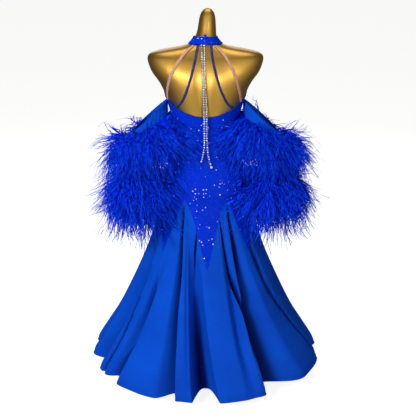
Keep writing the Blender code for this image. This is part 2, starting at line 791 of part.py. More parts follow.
def strap(name, route, slot):
    """An elastic strap that lies on the form's back, from the neckband to the neckline."""
    off = STRAP_DIAMETER / 2 + STRAP_OFF_BACK
    foot_x, foot_height = route[-1]
    for _ in range(12):
        foot = off_back(form_radius, foot_x, foot_height, off)
        foot_height = back_neckline(math.degrees(math.atan2(foot.x, -foot.y))) + STRAP_FOOT_RISE
    passed = list(route[:-1]) + [(foot_x, foot_height)]
    points = smooth_path([off_back(form_radius, x, height, off) for x, height in passed], STRAP_POINTS)
    return tube(name, points, STRAP_DIAMETER, slot)


def chain(name, route):
    """A free strand: it lies on the bare back, hangs from where the back stands out furthest
    and comes to rest on the gown's back."""
    points = []
    furthest = 0.0
    for x, height in route:
        bare = height > back_neckline(0.0) + 0.02
        off = CHAIN_DIAMETER / 2 + (CHAIN_OFF_BACK if bare else CHAIN_OFF_GOWN)
        point = off_back(form_radius if bare else gown_radius, x, height, off)
        furthest = min(furthest, point.y)
        points.append(Vector((x, furthest, point.z if height > 1.25 else height)))
    points = smooth_path(points, CHAIN_POINTS)
    tube(name, points, CHAIN_DIAMETER, "clear_stones")
    return points


def pendant(name, end, before):
    """The set stone that ends a chain."""
    onward = (end - before).normalized()
    ball = bmesh.new()
    bmesh.ops.create_uvsphere(ball, u_segments=10, v_segments=6, radius=PENDANT_RADIUS)
    mesh = bpy.data.meshes.new(name)
    ball.to_mesh(mesh)
    ball.free()
    piece = add_object(name, mesh, "clear_stones")
    piece.location = end + onward * (PENDANT_RADIUS + JOINT_GAP)


def main():
    clear_scene()
    made = bpy.data.collections.new("ballroom_gown")
    bpy.context.scene.collection.children.link(made)
    stand()
    dress_form()
    back_panel("bodice_back_left", -90.0, CENTRE_BACK)
    back_panel("bodice_back_right", CENTRE_BACK, 90.0)
    front_panel()
    neckband()
    skirt()
    for name, side in (("left", -1), ("right", 1)):
        sleeve("sleeve_" + name, side)
        for kind in FEATHERS:
            feather_band(f"feathers_{kind}_{name}", side, kind)
    strap("strap_nude_left", NUDE_LEFT, "nude_elastic")
    strap("strap_nude_right", NUDE_RIGHT, "nude_elastic")
    strap("strap_stones_left", BLUE_LEFT, "blue_stones")
    strap("strap_stones_right", BLUE_RIGHT, "blue_stones")
    chain("chain_left", CHAIN_LEFT)
    points = chain("chain_right", CHAIN_RIGHT)
    pendant("chain_pendant", points[-1], points[-2])


main()
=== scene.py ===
"""Looks of the ballroom gown on its dress form, in metres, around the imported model."""

import math
import random

import bmesh
import bpy
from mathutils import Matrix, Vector


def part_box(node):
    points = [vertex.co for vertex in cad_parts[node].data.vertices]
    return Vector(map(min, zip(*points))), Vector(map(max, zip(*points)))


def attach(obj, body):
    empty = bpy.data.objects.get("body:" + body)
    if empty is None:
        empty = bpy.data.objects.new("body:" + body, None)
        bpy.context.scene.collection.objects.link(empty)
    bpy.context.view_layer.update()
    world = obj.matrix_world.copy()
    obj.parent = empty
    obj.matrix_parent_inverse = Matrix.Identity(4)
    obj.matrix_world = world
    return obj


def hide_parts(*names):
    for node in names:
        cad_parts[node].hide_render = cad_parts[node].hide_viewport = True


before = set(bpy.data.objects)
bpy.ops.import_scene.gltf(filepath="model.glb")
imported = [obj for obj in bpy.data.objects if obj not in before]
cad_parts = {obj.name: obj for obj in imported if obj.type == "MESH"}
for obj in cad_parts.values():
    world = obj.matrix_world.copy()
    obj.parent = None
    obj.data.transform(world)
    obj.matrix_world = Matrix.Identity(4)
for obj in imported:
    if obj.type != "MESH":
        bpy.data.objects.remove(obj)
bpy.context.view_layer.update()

# The photograph's view: a camera a little above the shoulders and behind the gown, which looks
# down by a fifth of a right angle. The photograph is cut out on white, so the floor is bright
# paper whose own light stays off the gown, and soft boxes stand round the form.
CAMERA_DISTANCE = 2.62
CAMERA_HEIGHT = 1.655
CAMERA_ASIDE = 0.0095
CAMERA_TILT = 69.75
FOCAL_PIXELS = 700.0
FRAME_PIXELS = 416.0
SENSOR = 36.0
FLOOR_REACH = 60.0
PAPER = (0.45, 0.45, 0.448, 1.0)
PAPER_GLOW = 0.86
# Each soft box: name, place, target, width, height, power, and what it serves
SOFT_BOXES = (
    ("key_box", (-2.2, -2.9, 2.7), (0.0, 0.0, 0.90), 1.3, 1.8, 162.0, "cloth"),
    ("fill_box", (2.2, -2.9, 2.0), (0.0, 0.0, 0.85), 1.0, 1.6, 24.0, "cloth"),
    ("top_box", (0.0, 0.2, 3.4), (0.0, 0.0, 0.9), 2.2, 1.6, 18.0, "both"),
    ("front_box", (0.0, 3.4, 2.2), (0.0, 0.0, 0.9), 2.4, 1.8, 14.0, "both"),
    ("left_strip", (-1.45, -3.4, 0.72), (0.0, 0.0, 1.20), 0.34, 1.2, 22.0, "gold"),
    ("right_strip", (1.05, -3.4, 0.72), (0.0, 0.0, 1.20), 0.34, 1.2, 17.0, "gold"),
    ("gold_card", (0.0, -5.0, 2.0), (0.0, 0.0, 1.25), 12.0, 5.0, 72.0, "gold"),
)
ROOM = ((0.0, (0.34, 0.34, 0.34, 1.0)), (0.22, (0.30, 0.30, 0.30, 1.0)), (0.45, (0.12, 0.12, 0.12, 1.0)),
        (1.0, (0.08, 0.08, 0.08, 1.0)))

view_camera = bpy.data.objects.new("view_camera", bpy.data.cameras.new("view_camera"))
view_camera.data.sensor_width = SENSOR
view_camera.data.lens = FOCAL_PIXELS / FRAME_PIXELS * SENSOR
view_camera.location = (CAMERA_ASIDE, -CAMERA_DISTANCE, CAMERA_HEIGHT)
view_camera.rotation_euler = (math.radians(CAMERA_TILT), 0.0, 0.0)
bpy.context.scene.collection.objects.link(view_camera)
bpy.context.scene.camera = view_camera
bpy.context.scene.view_settings.view_transform = "Standard"


def principled(name, colour, roughness, metallic=0.0, **sockets):
    """A material with its shader, ready for more nodes."""
    made = bpy.data.materials.new(name)
    made.use_nodes = True
    shader = made.node_tree.nodes["Principled BSDF"]
    shader.inputs["Base Color"].default_value = colour
    shader.inputs["Roughness"].default_value = roughness
    shader.inputs["Metallic"].default_value = metallic
    for socket, value in sockets.items():
        shader.inputs[socket.replace("_", " ")].default_value = value
    return made, made.node_tree, shader


def texture(tree, kind, output="Object", stretch=None, **inputs):
    """A texture node on the piece's own coordinates, stretched where the finish is drawn out."""
    node = tree.nodes.new("ShaderNodeTex" + kind)
    for socket, value in inputs.items():
        node.inputs[socket.replace("_", " ")].default_value = value
    place = tree.nodes.new("ShaderNodeTexCoord").outputs[output]
    if stretch:
        mapping = tree.nodes.new("ShaderNodeMapping")
        mapping.inputs["Scale"].default_value = stretch
        tree.links.new(place, mapping.inputs["Vector"])
        place = mapping.outputs["Vector"]
    tree.links.new(place, node.inputs["Vector"])
    return node


def ramp(tree, factor, stops):
    """A colour ramp over a factor: stops are places and colours."""
    node = tree.nodes.new("ShaderNodeValToRGB")
    node.color_ramp.elements[0].position, node.color_ramp.elements[0].color = stops[0]
    node.color_ramp.elements[1].position, node.color_ramp.elements[1].color = stops[-1]
    for place, colour in stops[1:-1]:
        node.color_ramp.elements.new(place).color = colour
    tree.links.new(factor, node.inputs["Fac"])
    return node


def roughened(tree, shader, height, strength, distance):
    """Bump from a height on a shader's normal."""
    bump = tree.nodes.new("ShaderNodeBump")
    bump.inputs["Strength"].default_value = strength
    bump.inputs["Distance"].default_value = distance
    tree.links.new(height, bump.inputs["Height"])
    tree.links.new(bump.outputs["Normal"], shader.inputs["Normal"])
    return bump


paper, paper_tree, paper_shader = principled("white_paper", PAPER, 0.9)
paper_grain = texture(paper_tree, "Noise", Scale=40.0, Detail=4.0)
roughened(paper_tree, paper_shader, paper_grain.outputs["Fac"], 0.05, 0.001)
paper_shader.inputs["Emission Color"].default_value = (1.0, 1.0, 0.995, 1.0)
paper_shader.inputs["Emission Strength"].default_value = PAPER_GLOW

floor_mesh = bpy.data.meshes.new("floor")
floor_corners = [
    (x * FLOOR_REACH, y * FLOOR_REACH, -0.001) for x, y in ((-1, -1), (1, -1), (1, 1), (-1, 1))]
floor_mesh.from_pydata(floor_corners, [], [(0, 1, 2, 3)])
floor_mesh.materials.append(paper)
floor = bpy.data.objects.new("floor", floor_mesh)
bpy.context.scene.collection.objects.link(floor)
floor.visible_diffuse = False
floor.visible_glossy = False

for name, place, target, width, height, power, serves in SOFT_BOXES:
    light = bpy.data.lights.new(name, "AREA")
    light.shape = "RECTANGLE"
    light.size = width
    light.size_y = height
    light.energy = power
    lamp = bpy.data.objects.new(name, light)
    lamp.location = place
    lamp.visible_diffuse = serves != "gold"
    lamp.visible_glossy = serves != "cloth"
    lamp.rotation_euler = (Vector(target) - Vector(place)).to_track_quat("-Z", "Y").to_euler()
    bpy.context.scene.collection.objects.link(lamp)

world = bpy.data.worlds.new("studio")
bpy.context.scene.world = world
world.use_nodes = True
world_tree = world.node_tree
world_way = world_tree.nodes.new("ShaderNodeTexCoord")
world_parts = world_tree.nodes.new("ShaderNodeSeparateXYZ")
world_tree.links.new(world_way.outputs["Generated"], world_parts.inputs["Vector"])
world_share = world_tree.nodes.new("ShaderNodeMapRange")
world_share.inputs["From Min"].default_value = -1.0
world_tree.links.new(world_parts.outputs["Y"], world_share.inputs["Value"])
world_room = ramp(world_tree, world_share.outputs["Result"], ROOM)
world_tree.links.new(world_room.outputs["Color"], world_tree.nodes["Background"].inputs["Color"])

# The dress form is a hollow glass-fibre torso without arms, with round shoulder ends and a slim
# neck, finished in mirror-gloss gold. Its skin is one smooth shell through level sections, with
# a furrow down the spine and two soft bust mounds.
# Sections of the form: height, half width, depth to the front, depth to the back, squareness
FORM = (
    (0.700, 0.1300, 0.0850, 0.0950, 2.2),
    (0.708, 0.1480, 0.0975, 0.1110, 2.2),
    (0.735, 0.1580, 0.1035, 0.1200, 2.2),
    (0.770, 0.1625, 0.1060, 0.1240, 2.2),
    (0.810, 0.1615, 0.1050, 0.1230, 2.2),
    (0.852, 0.1530, 0.1010, 0.1130, 2.2),
    (0.888, 0.1400, 0.0965, 0.1000, 2.2),
    (0.922, 0.1275, 0.0920, 0.0890, 2.2),
    (0.955, 0.1185, 0.0885, 0.0815, 2.2),
    (0.988, 0.1150, 0.0880, 0.0775, 2.2),
    (1.020, 0.1165, 0.0900, 0.0775, 2.2),
    (1.055, 0.1225, 0.0950, 0.0800, 2.2),
    (1.092, 0.1330, 0.1020, 0.0850, 2.25),
    (1.128, 0.1440, 0.1070, 0.0905, 2.3),
    (1.162, 0.1560, 0.1070, 0.0945, 2.4),
    (1.197, 0.1740, 0.1010, 0.0965, 2.5),
    (1.232, 0.1985, 0.0920, 0.0950, 2.6),
    (1.264, 0.2110, 0.0800, 0.0895, 2.7),
    (1.287, 0.2130, 0.0685, 0.0810, 2.8),
    (1.299, 0.2020, 0.0615, 0.0730, 2.8),
    (1.308, 0.1760, 0.0570, 0.0670, 2.6),
    (1.316, 0.1350, 0.0540, 0.0625, 2.3),
    (1.323, 0.0930, 0.0520, 0.0590, 2.1),
    (1.331, 0.0640, 0.0490, 0.0550, 2.0),
    (1.337, 0.0560, 0.0458, 0.0508, 2.0),
    (1.345, 0.0482, 0.0425, 0.0468, 2.0),
    (1.359, 0.0390, 0.0370, 0.0395, 2.0),
    (1.378, 0.0345, 0.0340, 0.0350, 2.0),
    (1.404, 0.0315, 0.0315, 0.0320, 2.0),
    (1.428, 0.0280, 0.0280, 0.0280, 2.0),
    (1.444, 0.0225, 0.0225, 0.0225, 2.0),
    (1.454, 0.0135, 0.0135, 0.0135, 2.0),
)
FORM_TOP = 1.458
NECK_LEAN = ((1.337, 0.0), (1.3595, 0.0022), (1.385, 0.0052), (1.454, 0.0085))
FORM_COLUMNS = 108
FORM_ROW_HEIGHT = 0.006
# Mounds and hollows: height, rise up and down, angle from the back, spread, depth
BUST = {"height": 1.128, "rise": 0.058, "angle": 149.0, "spread": 27.0, "depth": 0.015}
SPINE = {"height": 1.080, "rise": 0.130, "angle": 0.0, "spread": 13.0, "depth": -0.0055}
BLADE = {"height": 1.225, "rise": 0.060, "angle": 24.0, "spread": 15.0, "depth": 0.0050}
GOLD_LIGHT = (0.78, 0.45, 0.085, 1.0)
GOLD_DEEP = (0.70, 0.395, 0.07, 1.0)


def smooth_read(rows, at):
    """A row of a table at any value of its first column, on a smooth curve through the rows."""
    keys = [row[0] for row in rows]
    if at <= keys[0]:
        return rows[0][1:]
    if at >= keys[-1]:
        return rows[-1][1:]
    i = max(k for k in range(len(keys) - 1) if keys[k] <= at)
    span = keys[i + 1] - keys[i]
    t = (at - keys[i]) / span

    def slope(k, column):
        low, high = max(k - 1, 0), min(k + 1, len(rows) - 1)
        return (rows[high][column] - rows[low][column]) / (keys[high] - keys[low]) * span

    return tuple(
        rows[i][c] * (1 + 2 * t) * (1 - t) ** 2
        + slope(i, c) * t * (1 - t) ** 2
        + rows[i + 1][c] * t * t * (3 - 2 * t)
        + slope(i + 1, c) * t * t * (t - 1)
        for c in range(1, len(rows[0]))
    )


def outline_radius(angle, half_width, front, back, squareness):
    """Distance from the axis to a rounded section, in the direction of angle."""
    across = abs(math.sin(math.radians(angle)))
    along = math.cos(math.radians(angle))
    depth = back if along > 0 else front
    share = (across / half_width) ** squareness + (abs(along) / depth) ** squareness
    return share ** (-1 / squareness)


def swelling(angle, height, form):
    """A soft mound or hollow, round one place of the body."""
    turn = abs((angle - form["angle"] + 180.0) % 360.0 - 180.0)
    up = math.exp(-(((height - form["height"]) / form["rise"]) ** 2))
    return form["depth"] * up * math.exp(-((turn / form["spread"]) ** 2))


def bust_swelling(angle, height):
    return swelling(angle, height, BUST) + swelling(-angle, height, BUST)


def form_radius(angle, height):
    skin = outline_radius(angle, *smooth_read(FORM, height))
    blades = swelling(angle, height, BLADE) + swelling(-angle, height, BLADE)
    return skin + bust_swelling(angle, height) + swelling(angle, height, SPINE) + blades


def around(angle, radius, height):
    turn = math.radians(angle)
    return Vector((radius * math.sin(turn), -radius * math.cos(turn), height))


def meshed(name, made):
    """A mesh from a bmesh, which is freed."""
    mesh = bpy.data.meshes.new(name)
    made.to_mesh(mesh)
    made.free()
    return mesh


def sheet_mesh(name, rows, closed=False):
    """An open sheet through rows of points, with its widths and lengths as a UV map."""
    sheet = bmesh.new()
    spread = sheet.loops.layers.uv.new("cloth")
    points = [[sheet.verts.new(point) for point in row] for row in rows]
    places = {}
    lengths = [0.0] * len(rows[0])
    for r, row in enumerate(rows):
        run = 0.0
        for c, point in enumerate(row):
            run += (point - row[c - 1]).length if c else 0.0
            lengths[c] += (point - rows[r - 1][c]).length if r else 0.0
            places[points[r][c]] = (run, lengths[c])
    columns = len(rows[0])
    for low, high in zip(points, points[1:]):
        for c in range(columns if closed else columns - 1):
            d = (c + 1) % columns
            face = sheet.faces.new((low[c], low[d], high[d], high[c]))
            for loop in face.loops:
                loop[spread].uv = places[loop.vert]
    mesh = meshed(name, sheet)
    return mesh


def put(name, mesh, finish, nodes=()):
    """A finished piece: in the scene, with its material, riding and standing for its nodes."""
    piece = bpy.data.objects.new(name, mesh)
    bpy.context.scene.collection.objects.link(piece)
    mesh.materials.clear()
    mesh.materials.append(finish)
    mesh.shade_smooth()
    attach(piece, "root")
    if nodes:
        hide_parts(*nodes)
    return piece


form_skin = bmesh.new()
form_heights = [
    FORM[0][0] + FORM_ROW_HEIGHT * k
    for k in range(int((FORM[-1][0] - FORM[0][0]) / FORM_ROW_HEIGHT) + 1)]
form_heights += [FORM[-1][0], FORM_TOP - 0.0016, FORM_TOP - 0.0004]
form_rings = []
for height in form_heights:
    cap = math.sqrt(
        max(0.0, (FORM_TOP - height) / (FORM_TOP - FORM[-1][0]))) if height > FORM[-1][0] else 1.0
    turns = [360.0 * c / FORM_COLUMNS for c in range(FORM_COLUMNS)]
    lean = Vector((smooth_read(NECK_LEAN, height)[0], 0.0, 0.0))
    form_rings.append(
        [form_skin.verts.new(around(a, form_radius(a, height) * cap, height) + lean) for a in turns])
for low, high in zip(form_rings, form_rings[1:]):
    for c in range(FORM_COLUMNS):
        d = (c + 1) % FORM_COLUMNS
        form_skin.faces.new((low[c], low[d], high[d], high[c]))
form_skin.faces.new(list(reversed(form_rings[0])))
form_crown = form_skin.verts.new((NECK_LEAN[-1][1], 0.0, FORM_TOP))
for c in range(FORM_COLUMNS):
    form_skin.faces.new((form_rings[-1][c], form_rings[-1][(c + 1) % FORM_COLUMNS], form_crown))
form_mesh = meshed("dress_form_skin", form_skin)

def tinted(tree, shader, factor, stops):
    """A colour ramp over a factor, as the shader's colour."""
    tree.links.new(ramp(tree, factor, stops).outputs["Color"], shader.inputs["Base Color"])


def polished(tree, shader, factor, least, most):
    """Roughness between two values, by a factor."""
    node = tree.nodes.new("ShaderNodeMapRange")
    node.inputs["To Min"].default_value = least
    node.inputs["To Max"].default_value = most
    tree.links.new(factor, node.inputs["Value"])
    tree.links.new(node.outputs["Result"], shader.inputs["Roughness"])


gold, gold_tree, gold_shader = principled(
    "gloss_gold", GOLD_LIGHT, 0.36, 1.0, Coat_Weight=0.15, Coat_Roughness=0.10)
gold_cloud = texture(gold_tree, "Noise", Scale=7.0, Detail=3.0, Roughness=0.6)
tinted(gold_tree, gold_shader, gold_cloud.outputs["Fac"], [(0.30, GOLD_DEEP), (0.70, GOLD_LIGHT)])
gold_haze = texture(gold_tree, "Noise", Scale=38.0, Detail=6.0, Roughness=0.7)
polished(gold_tree, gold_shader, gold_haze.outputs["Fac"], 0.32, 0.40)
gold_peel = texture(gold_tree, "Noise", Scale=260.0, Detail=2.0)
roughened(gold_tree, gold_shader, gold_peel.outputs["Fac"], 0.05, 0.0004)
put("dress_form_skin", form_mesh, gold, ["dress_form"])

# The stand is hidden under the skirt: a round steel base, a pole and a flange that is screwed to
# the form. The CAD solids keep their shapes and get a brushed finish with a few scuffs.
STEEL = (0.56, 0.56, 0.57, 1.0)
STEEL_WORN = (0.40, 0.39, 0.38, 1.0)

steel, steel_tree, steel_shader = principled("brushed_steel", STEEL, 0.34, 1.0)
steel_lines = texture(steel_tree, "Noise", stretch=(1.0, 1.0, 18.0), Scale=55.0, Detail=8.0, Roughness=0.75)
steel_scuffs = texture(steel_tree, "Noise", Scale=22.0, Detail=6.0)
tinted(steel_tree, steel_shader, steel_scuffs.outputs["Fac"], [(0.35, STEEL_WORN), (0.60, STEEL)])
roughened(steel_tree, steel_shader, steel_lines.outputs["Fac"], 0.12, 0.0004)
for node in ("stand_base", "stand_pole", "stand_flange"):
    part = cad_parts[node]
    part.data.materials.clear()
    part.data.materials.append(steel)

# The body of the gown is stretch jersey in royal blue, in a front with a halter and two back
# halves. Each is cut in points at the hip. The cloth is 1.2 mm thick and lies close to the form.
WALL = 0.0012
SEAM_GAP = 0.00005
SEAM_DROP = 0.0005
SEAM_BOW = 1.6
CENTRE_BACK = 2.0
BODY_EASE = 0.0028
BUST_BRIDGING = 1.15
SIDE_TOP = 1.147
# Sections of the skirt's flare, in the same columns as the form's
FLARE = (
    (0.055, 0.480, 0.400, 0.412, 2.0),
    (0.085, 0.470, 0.390, 0.402, 2.0),
    (0.165, 0.421, 0.346, 0.356, 2.0),
    (0.245, 0.371, 0.300, 0.310, 2.0),
    (0.355, 0.315, 0.248, 0.260, 2.0),
    (0.515, 0.243, 0.182, 0.200, 2.0),
    (0.616, 0.208, 0.146, 0.166, 2.05),
    (0.700, 0.184, 0.122, 0.142, 2.1),
    (0.740, 0.1740, 0.1145, 0.1335, 2.15),
    (0.780, 0.1705, 0.1125, 0.1320, 2.2),
    (0.818, 0.1665, 0.1105, 0.1285, 2.2),
)
# The zigzag seam between body and skirt: angle from the back, height
ZIGZAG = (
    (-90.0, 0.742), (-52.5, 0.558), (-33.8, 0.758), (CENTRE_BACK, 0.505), (34.6, 0.758), (52.5, 0.558),
    (90.0, 0.742), (119.0, 0.538), (146.2, 0.756), (180.0, 0.505), (213.8, 0.756), (241.0, 0.538),
    (270.0, 0.742), (307.5, 0.558),
)
# Upper edge of the back: angle, height
BACK_NECKLINE = (
    (0.0, 1.0710), (25.0, 1.0760), (45.0, 1.0880), (60.0, 1.1030), (71.0, 1.1240), (80.0, 1.1370),
    (90.0, 1.1470),
)
# Edge of the halter: height, half its angle round the front
HALTER = (
    (1.147, 90.0), (1.160, 84.0), (1.182, 72.0), (1.216, 58.0), (1.260, 46.5), (1.300, 42.0),
    (1.330, 43.0),
)
NECKBAND_LOW = 1.3365
NECKBAND_THROAT_DROP = 0.004
BODY_COLUMN = 1.8
BODY_ROWS = 60
HALTER_ROWS = 36
JERSEY_DEEP = (0.0002, 0.016, 0.38, 1.0)
JERSEY_LIGHT = (0.0003, 0.030, 0.63, 1.0)
GLITTER_TILT = 0.25
GOWN_TOP = 1.335


def cloth_sections(ease):
    """Sections of the gown: its flare, and above that the form with the cloth's ease."""
    above = [row for row in FORM if FLARE[-1][0] < row[0] <= GOWN_TOP]
    return FLARE + tuple((row[0],) + tuple(size + ease for size in row[1:4]) + (row[4],) for row in above)


GOWN = cloth_sections(BODY_EASE)


def gown_radius(angle, height):
    skin = outline_radius(angle, *smooth_read(GOWN, height))
    return skin + bust_swelling(angle, height) * BUST_BRIDGING


def seam_height(angle):
    """Height of the zigzag seam: a round arch at each peak that runs steeply into each tip."""
    for (start, low), (end, high) in zip(ZIGZAG, ZIGZAG[1:]):
        if start <= angle <= end:
            peak, top, tip, foot = (end, high, start, low) if high > low else (start, low, end, high)
            return top + (foot - top) * (abs(angle - peak) / abs(tip - peak)) ** SEAM_BOW
    return ZIGZAG[0][1]


def evenly(start, end, step):
    count = max(1, math.ceil((end - start) / step))
    return [start + (end - start) * k / count for k in range(count + 1)]


def body_columns(start, end):
    """Columns of a body panel, with one at every tip and peak of the zigzag seam."""
    marks = [start] + [a for a, _ in ZIGZAG if start < a < end] + [end]
    columns = []
    for low, high in zip(marks, marks[1:]):
        columns += evenly(low, high, BODY_COLUMN)[:-1]
    clear = math.degrees(SEAM_GAP / 2 / 0.17)
    return [columns[0] + clear] + columns[1:] + [end - clear]


def back_neckline(angle):
    return smooth_read(BACK_NECKLINE, abs(angle))[0]


def neckband_low(angle):
    return NECKBAND_LOW - NECKBAND_THROAT_DROP * (1 - math.cos(math.radians(angle))) / 2


def body_rows(columns, top_of):
    rows = []
    for k in range(BODY_ROWS + 1):
        row = []
        for angle in columns:
            low = seam_height(angle)
            height = low + (top_of(angle) - low) * k / BODY_ROWS
            row.append(around(angle, gown_radius(angle, height), height))
        rows.append(row)
    return rows


def declare_cloth():
    """Only defines the length of a run of points, flat or along its slope, which is never used; it returns
    nothing.
    """
    def run(points, level=False):
        steps = [b - a for a, b in zip(points, points[1:])]
        return sum(math.hypot(step.x, step.y) if level else step.length for step in steps)


def cloth_piece(name, rows, finish, nodes, closed=False):
    """A panel of cloth: a fine sheet through the rows, with its wall inside it."""
    piece = put(name, sheet_mesh(name, rows, closed), finish, nodes)
    wall = piece.modifiers.new("wall", "SOLIDIFY")
    wall.thickness = WALL
    wall.offset = -1.0
    faces_at = [0] * len(piece.data.edges)
    for loop in piece.data.loops:
        faces_at[loop.edge_index] += 1
    cut = piece.data.attributes.new("sharp_edge", "BOOLEAN", "EDGE")
    cut.data.foreach_set("value", [count == 1 for count in faces_at])
    declare_cloth()
    return piece


def blended(tree, factor, gain, plus):
    """A factor times a gain, plus a number or another factor."""
    node = tree.nodes.new("ShaderNodeMath")
    node.operation = "MULTIPLY_ADD"
    node.inputs[1].default_value = gain
    tree.links.new(factor, node.inputs[0])
    if isinstance(plus, float):
        node.inputs[2].default_value = plus
    else:
        tree.links.new(plus, node.inputs[2])
    return node.outputs["Value"]


def facets(tree, scale):
    """Cells that each have a red, a green and a blue of their own."""
    bits = tree.nodes.new("ShaderNodeSeparateColor")
    tree.links.new(texture(tree, "Voronoi", Scale=scale).outputs["Color"], bits.inputs["Color"])
    return bits


jersey, jersey_tree, jersey_shader = principled(
    "glitter_jersey", JERSEY_LIGHT, 0.50, 0.0, Specular_IOR_Level=0.04)
jersey_cloud = texture(jersey_tree, "Noise", Scale=9.0, Detail=4.0)
jersey_grain = facets(jersey_tree, 420.0)
jersey_mix = blended(jersey_tree, jersey_cloud.outputs["Fac"], 0.55, 0.0)
jersey_mix = blended(jersey_tree, jersey_grain.outputs["Red"], 0.45, jersey_mix)
tinted(jersey_tree, jersey_shader, jersey_mix, [(0.22, JERSEY_DEEP), (0.72, JERSEY_LIGHT)])
polished(jersey_tree, jersey_shader, jersey_grain.outputs["Green"], 0.34, 0.70)
roughened(jersey_tree, jersey_shader, jersey_grain.outputs["Blue"], GLITTER_TILT, 0.0005)

body_sheets = {}
for name, start, end in (
        ("bodice_back_left", -90.0, CENTRE_BACK), ("bodice_back_right", CENTRE_BACK, 90.0)):
    body_sheets[name] = body_rows(body_columns(start, end), back_neckline)

front_columns = body_columns(90.0, 270.0)
front_rows = body_rows(front_columns, lambda angle: SIDE_TOP)
front_top = neckband_low(180.0) - SEAM_GAP
for k in range(1, HALTER_ROWS + 1):
    height = SIDE_TOP + (front_top - SIDE_TOP) * (k / HALTER_ROWS) ** 1.5
    spread = smooth_read(HALTER, height)[0] / 90.0
    turns = [180.0 + (column - 180.0) * spread for column in front_columns]
    front_rows.append([around(turn, gown_radius(turn, height), height) for turn in turns])
body_sheets["bodice_front"] = front_rows

for name, rows in body_sheets.items():
    cloth_piece(name + "_cloth", rows, jersey, [name])


# The jersey is edged with a turned and stitched binding at the bare back, the armholes and the
# halter, and small glue-on sequins and clear crystals are scattered over it.
BINDING_RADIUS = 0.0016
SEQUIN_RADIUS = 0.0011
SEQUIN_THICKNESS = 0.00035
SEQUIN_DENSITY = 11000.0
SEQUIN_GAP = 0.0055
CRYSTAL_RADIUS = 0.0027
CRYSTAL_HEIGHT = 0.0011
CRYSTAL_GLUE = 0.0001
CRYSTAL_DENSITY = 4600.0
CRYSTAL_GAP = 0.009
CRYSTALS_EVERYWHERE = 0.12
# Clusters of crystals: place across, height, spread, share of the full density
CRYSTAL_CLUSTERS = (
    (-0.026, 0.800, 0.028, 0.80), (-0.032, 0.752, 0.024, 0.75), (-0.010, 0.612, 0.024, 0.95),
    (-0.022, 0.665, 0.022, 0.40), (0.032, 0.690, 0.018, 0.40), (0.034, 1.005, 0.024, 0.50),
    (-0.024, 1.030, 0.018, 0.40), (0.060, 0.835, 0.030, 0.30), (0.105, 0.790, 0.040, 0.25))
SCATTER_SEED = 11


def node_group(name, inputs):
    """A geometry tree with a geometry input and output, and named inputs for its sizes."""
    tree = bpy.data.node_groups.new(name, "GeometryNodeTree")
    tree.interface.new_socket("Geometry", in_out="OUTPUT", socket_type="NodeSocketGeometry")
    tree.interface.new_socket("Geometry", in_out="INPUT", socket_type="NodeSocketGeometry")
    for label, kind in inputs:
        tree.interface.new_socket(label, in_out="INPUT", socket_type="NodeSocket" + kind)
    return tree, tree.nodes.new("NodeGroupInput"), tree.nodes.new("NodeGroupOutput")


def add(tree, kind, links=(), **facts):
    """A node of a tree: facts are its properties or its inputs, and links its sources."""
    node = tree.nodes.new(kind)
    values = {}
    for label, value in facts.items():
        if hasattr(node, label):
            setattr(node, label, value)
        else:
            values[label] = value
    for label, value in values.items():
        node.inputs[label.replace("_", " ")].default_value = value
    for socket, source in links:
        tree.links.new(source, node.inputs[socket])
    return node


def dress(tree, group_in, group_out, geometry):
    """The end of a tree: real geometry, in the finish that is asked for."""
    real = add(tree, "GeometryNodeRealizeInstances", [("Geometry", geometry)])
    dressed = add(tree, "GeometryNodeSetMaterial",
                  [("Geometry", real.outputs["Geometry"]), ("Material", group_in.outputs["Finish"])])
    tree.links.new(dressed.outputs["Geometry"], group_out.inputs["Geometry"])


def grown(name, source, tree, finish, settings, nodes=()):
    """A plain mesh piece from a source mesh that went through a geometry tree."""
    carrier = bpy.data.objects.new(name + "_source", source)
    bpy.context.scene.collection.objects.link(carrier)
    growth = carrier.modifiers.new("growth", "NODES")
    growth.node_group = tree
    for item in tree.interface.items_tree:
        if item.in_out == "INPUT" and item.name in settings:
            growth[item.identifier] = settings[item.name]
    mesh = bpy.data.meshes.new_from_object(carrier.evaluated_get(bpy.context.evaluated_depsgraph_get()))
    mesh.name = name
    carrier.modifiers.remove(growth)
    bpy.data.objects.remove(carrier)
    return put(name, mesh, finish, nodes)


def line_mesh(name, points, outs=None, closed=False):
    """A line of points, each with the way on and the way out of the surface that it lies on."""
    mesh = bpy.data.meshes.new(name)
    count = len(points)
    edges = [(k, k + 1) for k in range(count - 1)] + ([(count - 1, 0)] if closed else [])
    mesh.from_pydata([tuple(p) for p in points], edges, [])
    way = mesh.attributes.new("way", "FLOAT_VECTOR", "POINT")
    out = mesh.attributes.new("out", "FLOAT_VECTOR", "POINT")
    for k in range(count):
        ahead = points[(k + 1) % count] if closed or k < count - 1 else points[k]
        behind = points[k - 1] if closed or k else points[k]
        step = (ahead - behind).normalized()
        side = outs[k] if outs else Vector((points[k].x, points[k].y, 0.0)).normalized()
        way.data[k].vector = step
        out.data[k].vector = (side - step * side.dot(step)).normalized()
    return mesh


def walked(points, step, closed=False):
    """Points evenly spaced along a line of points."""
    route = points + [points[0]] if closed else points
    lengths = [0.0]
    for a, b in zip(route, route[1:]):
        lengths.append(lengths[-1] + (b - a).length)
    count = max(1, round(lengths[-1] / step))
    found, k = [], 0
    for n in range(count if closed else count + 1):
        at = lengths[-1] * n / count
        while k < len(lengths) - 2 and lengths[k + 1] < at:
            k += 1
        share = (at - lengths[k]) / max(lengths[k + 1] - lengths[k], 1e-9)
        found.append(route[k].lerp(route[k + 1], share))
    return found


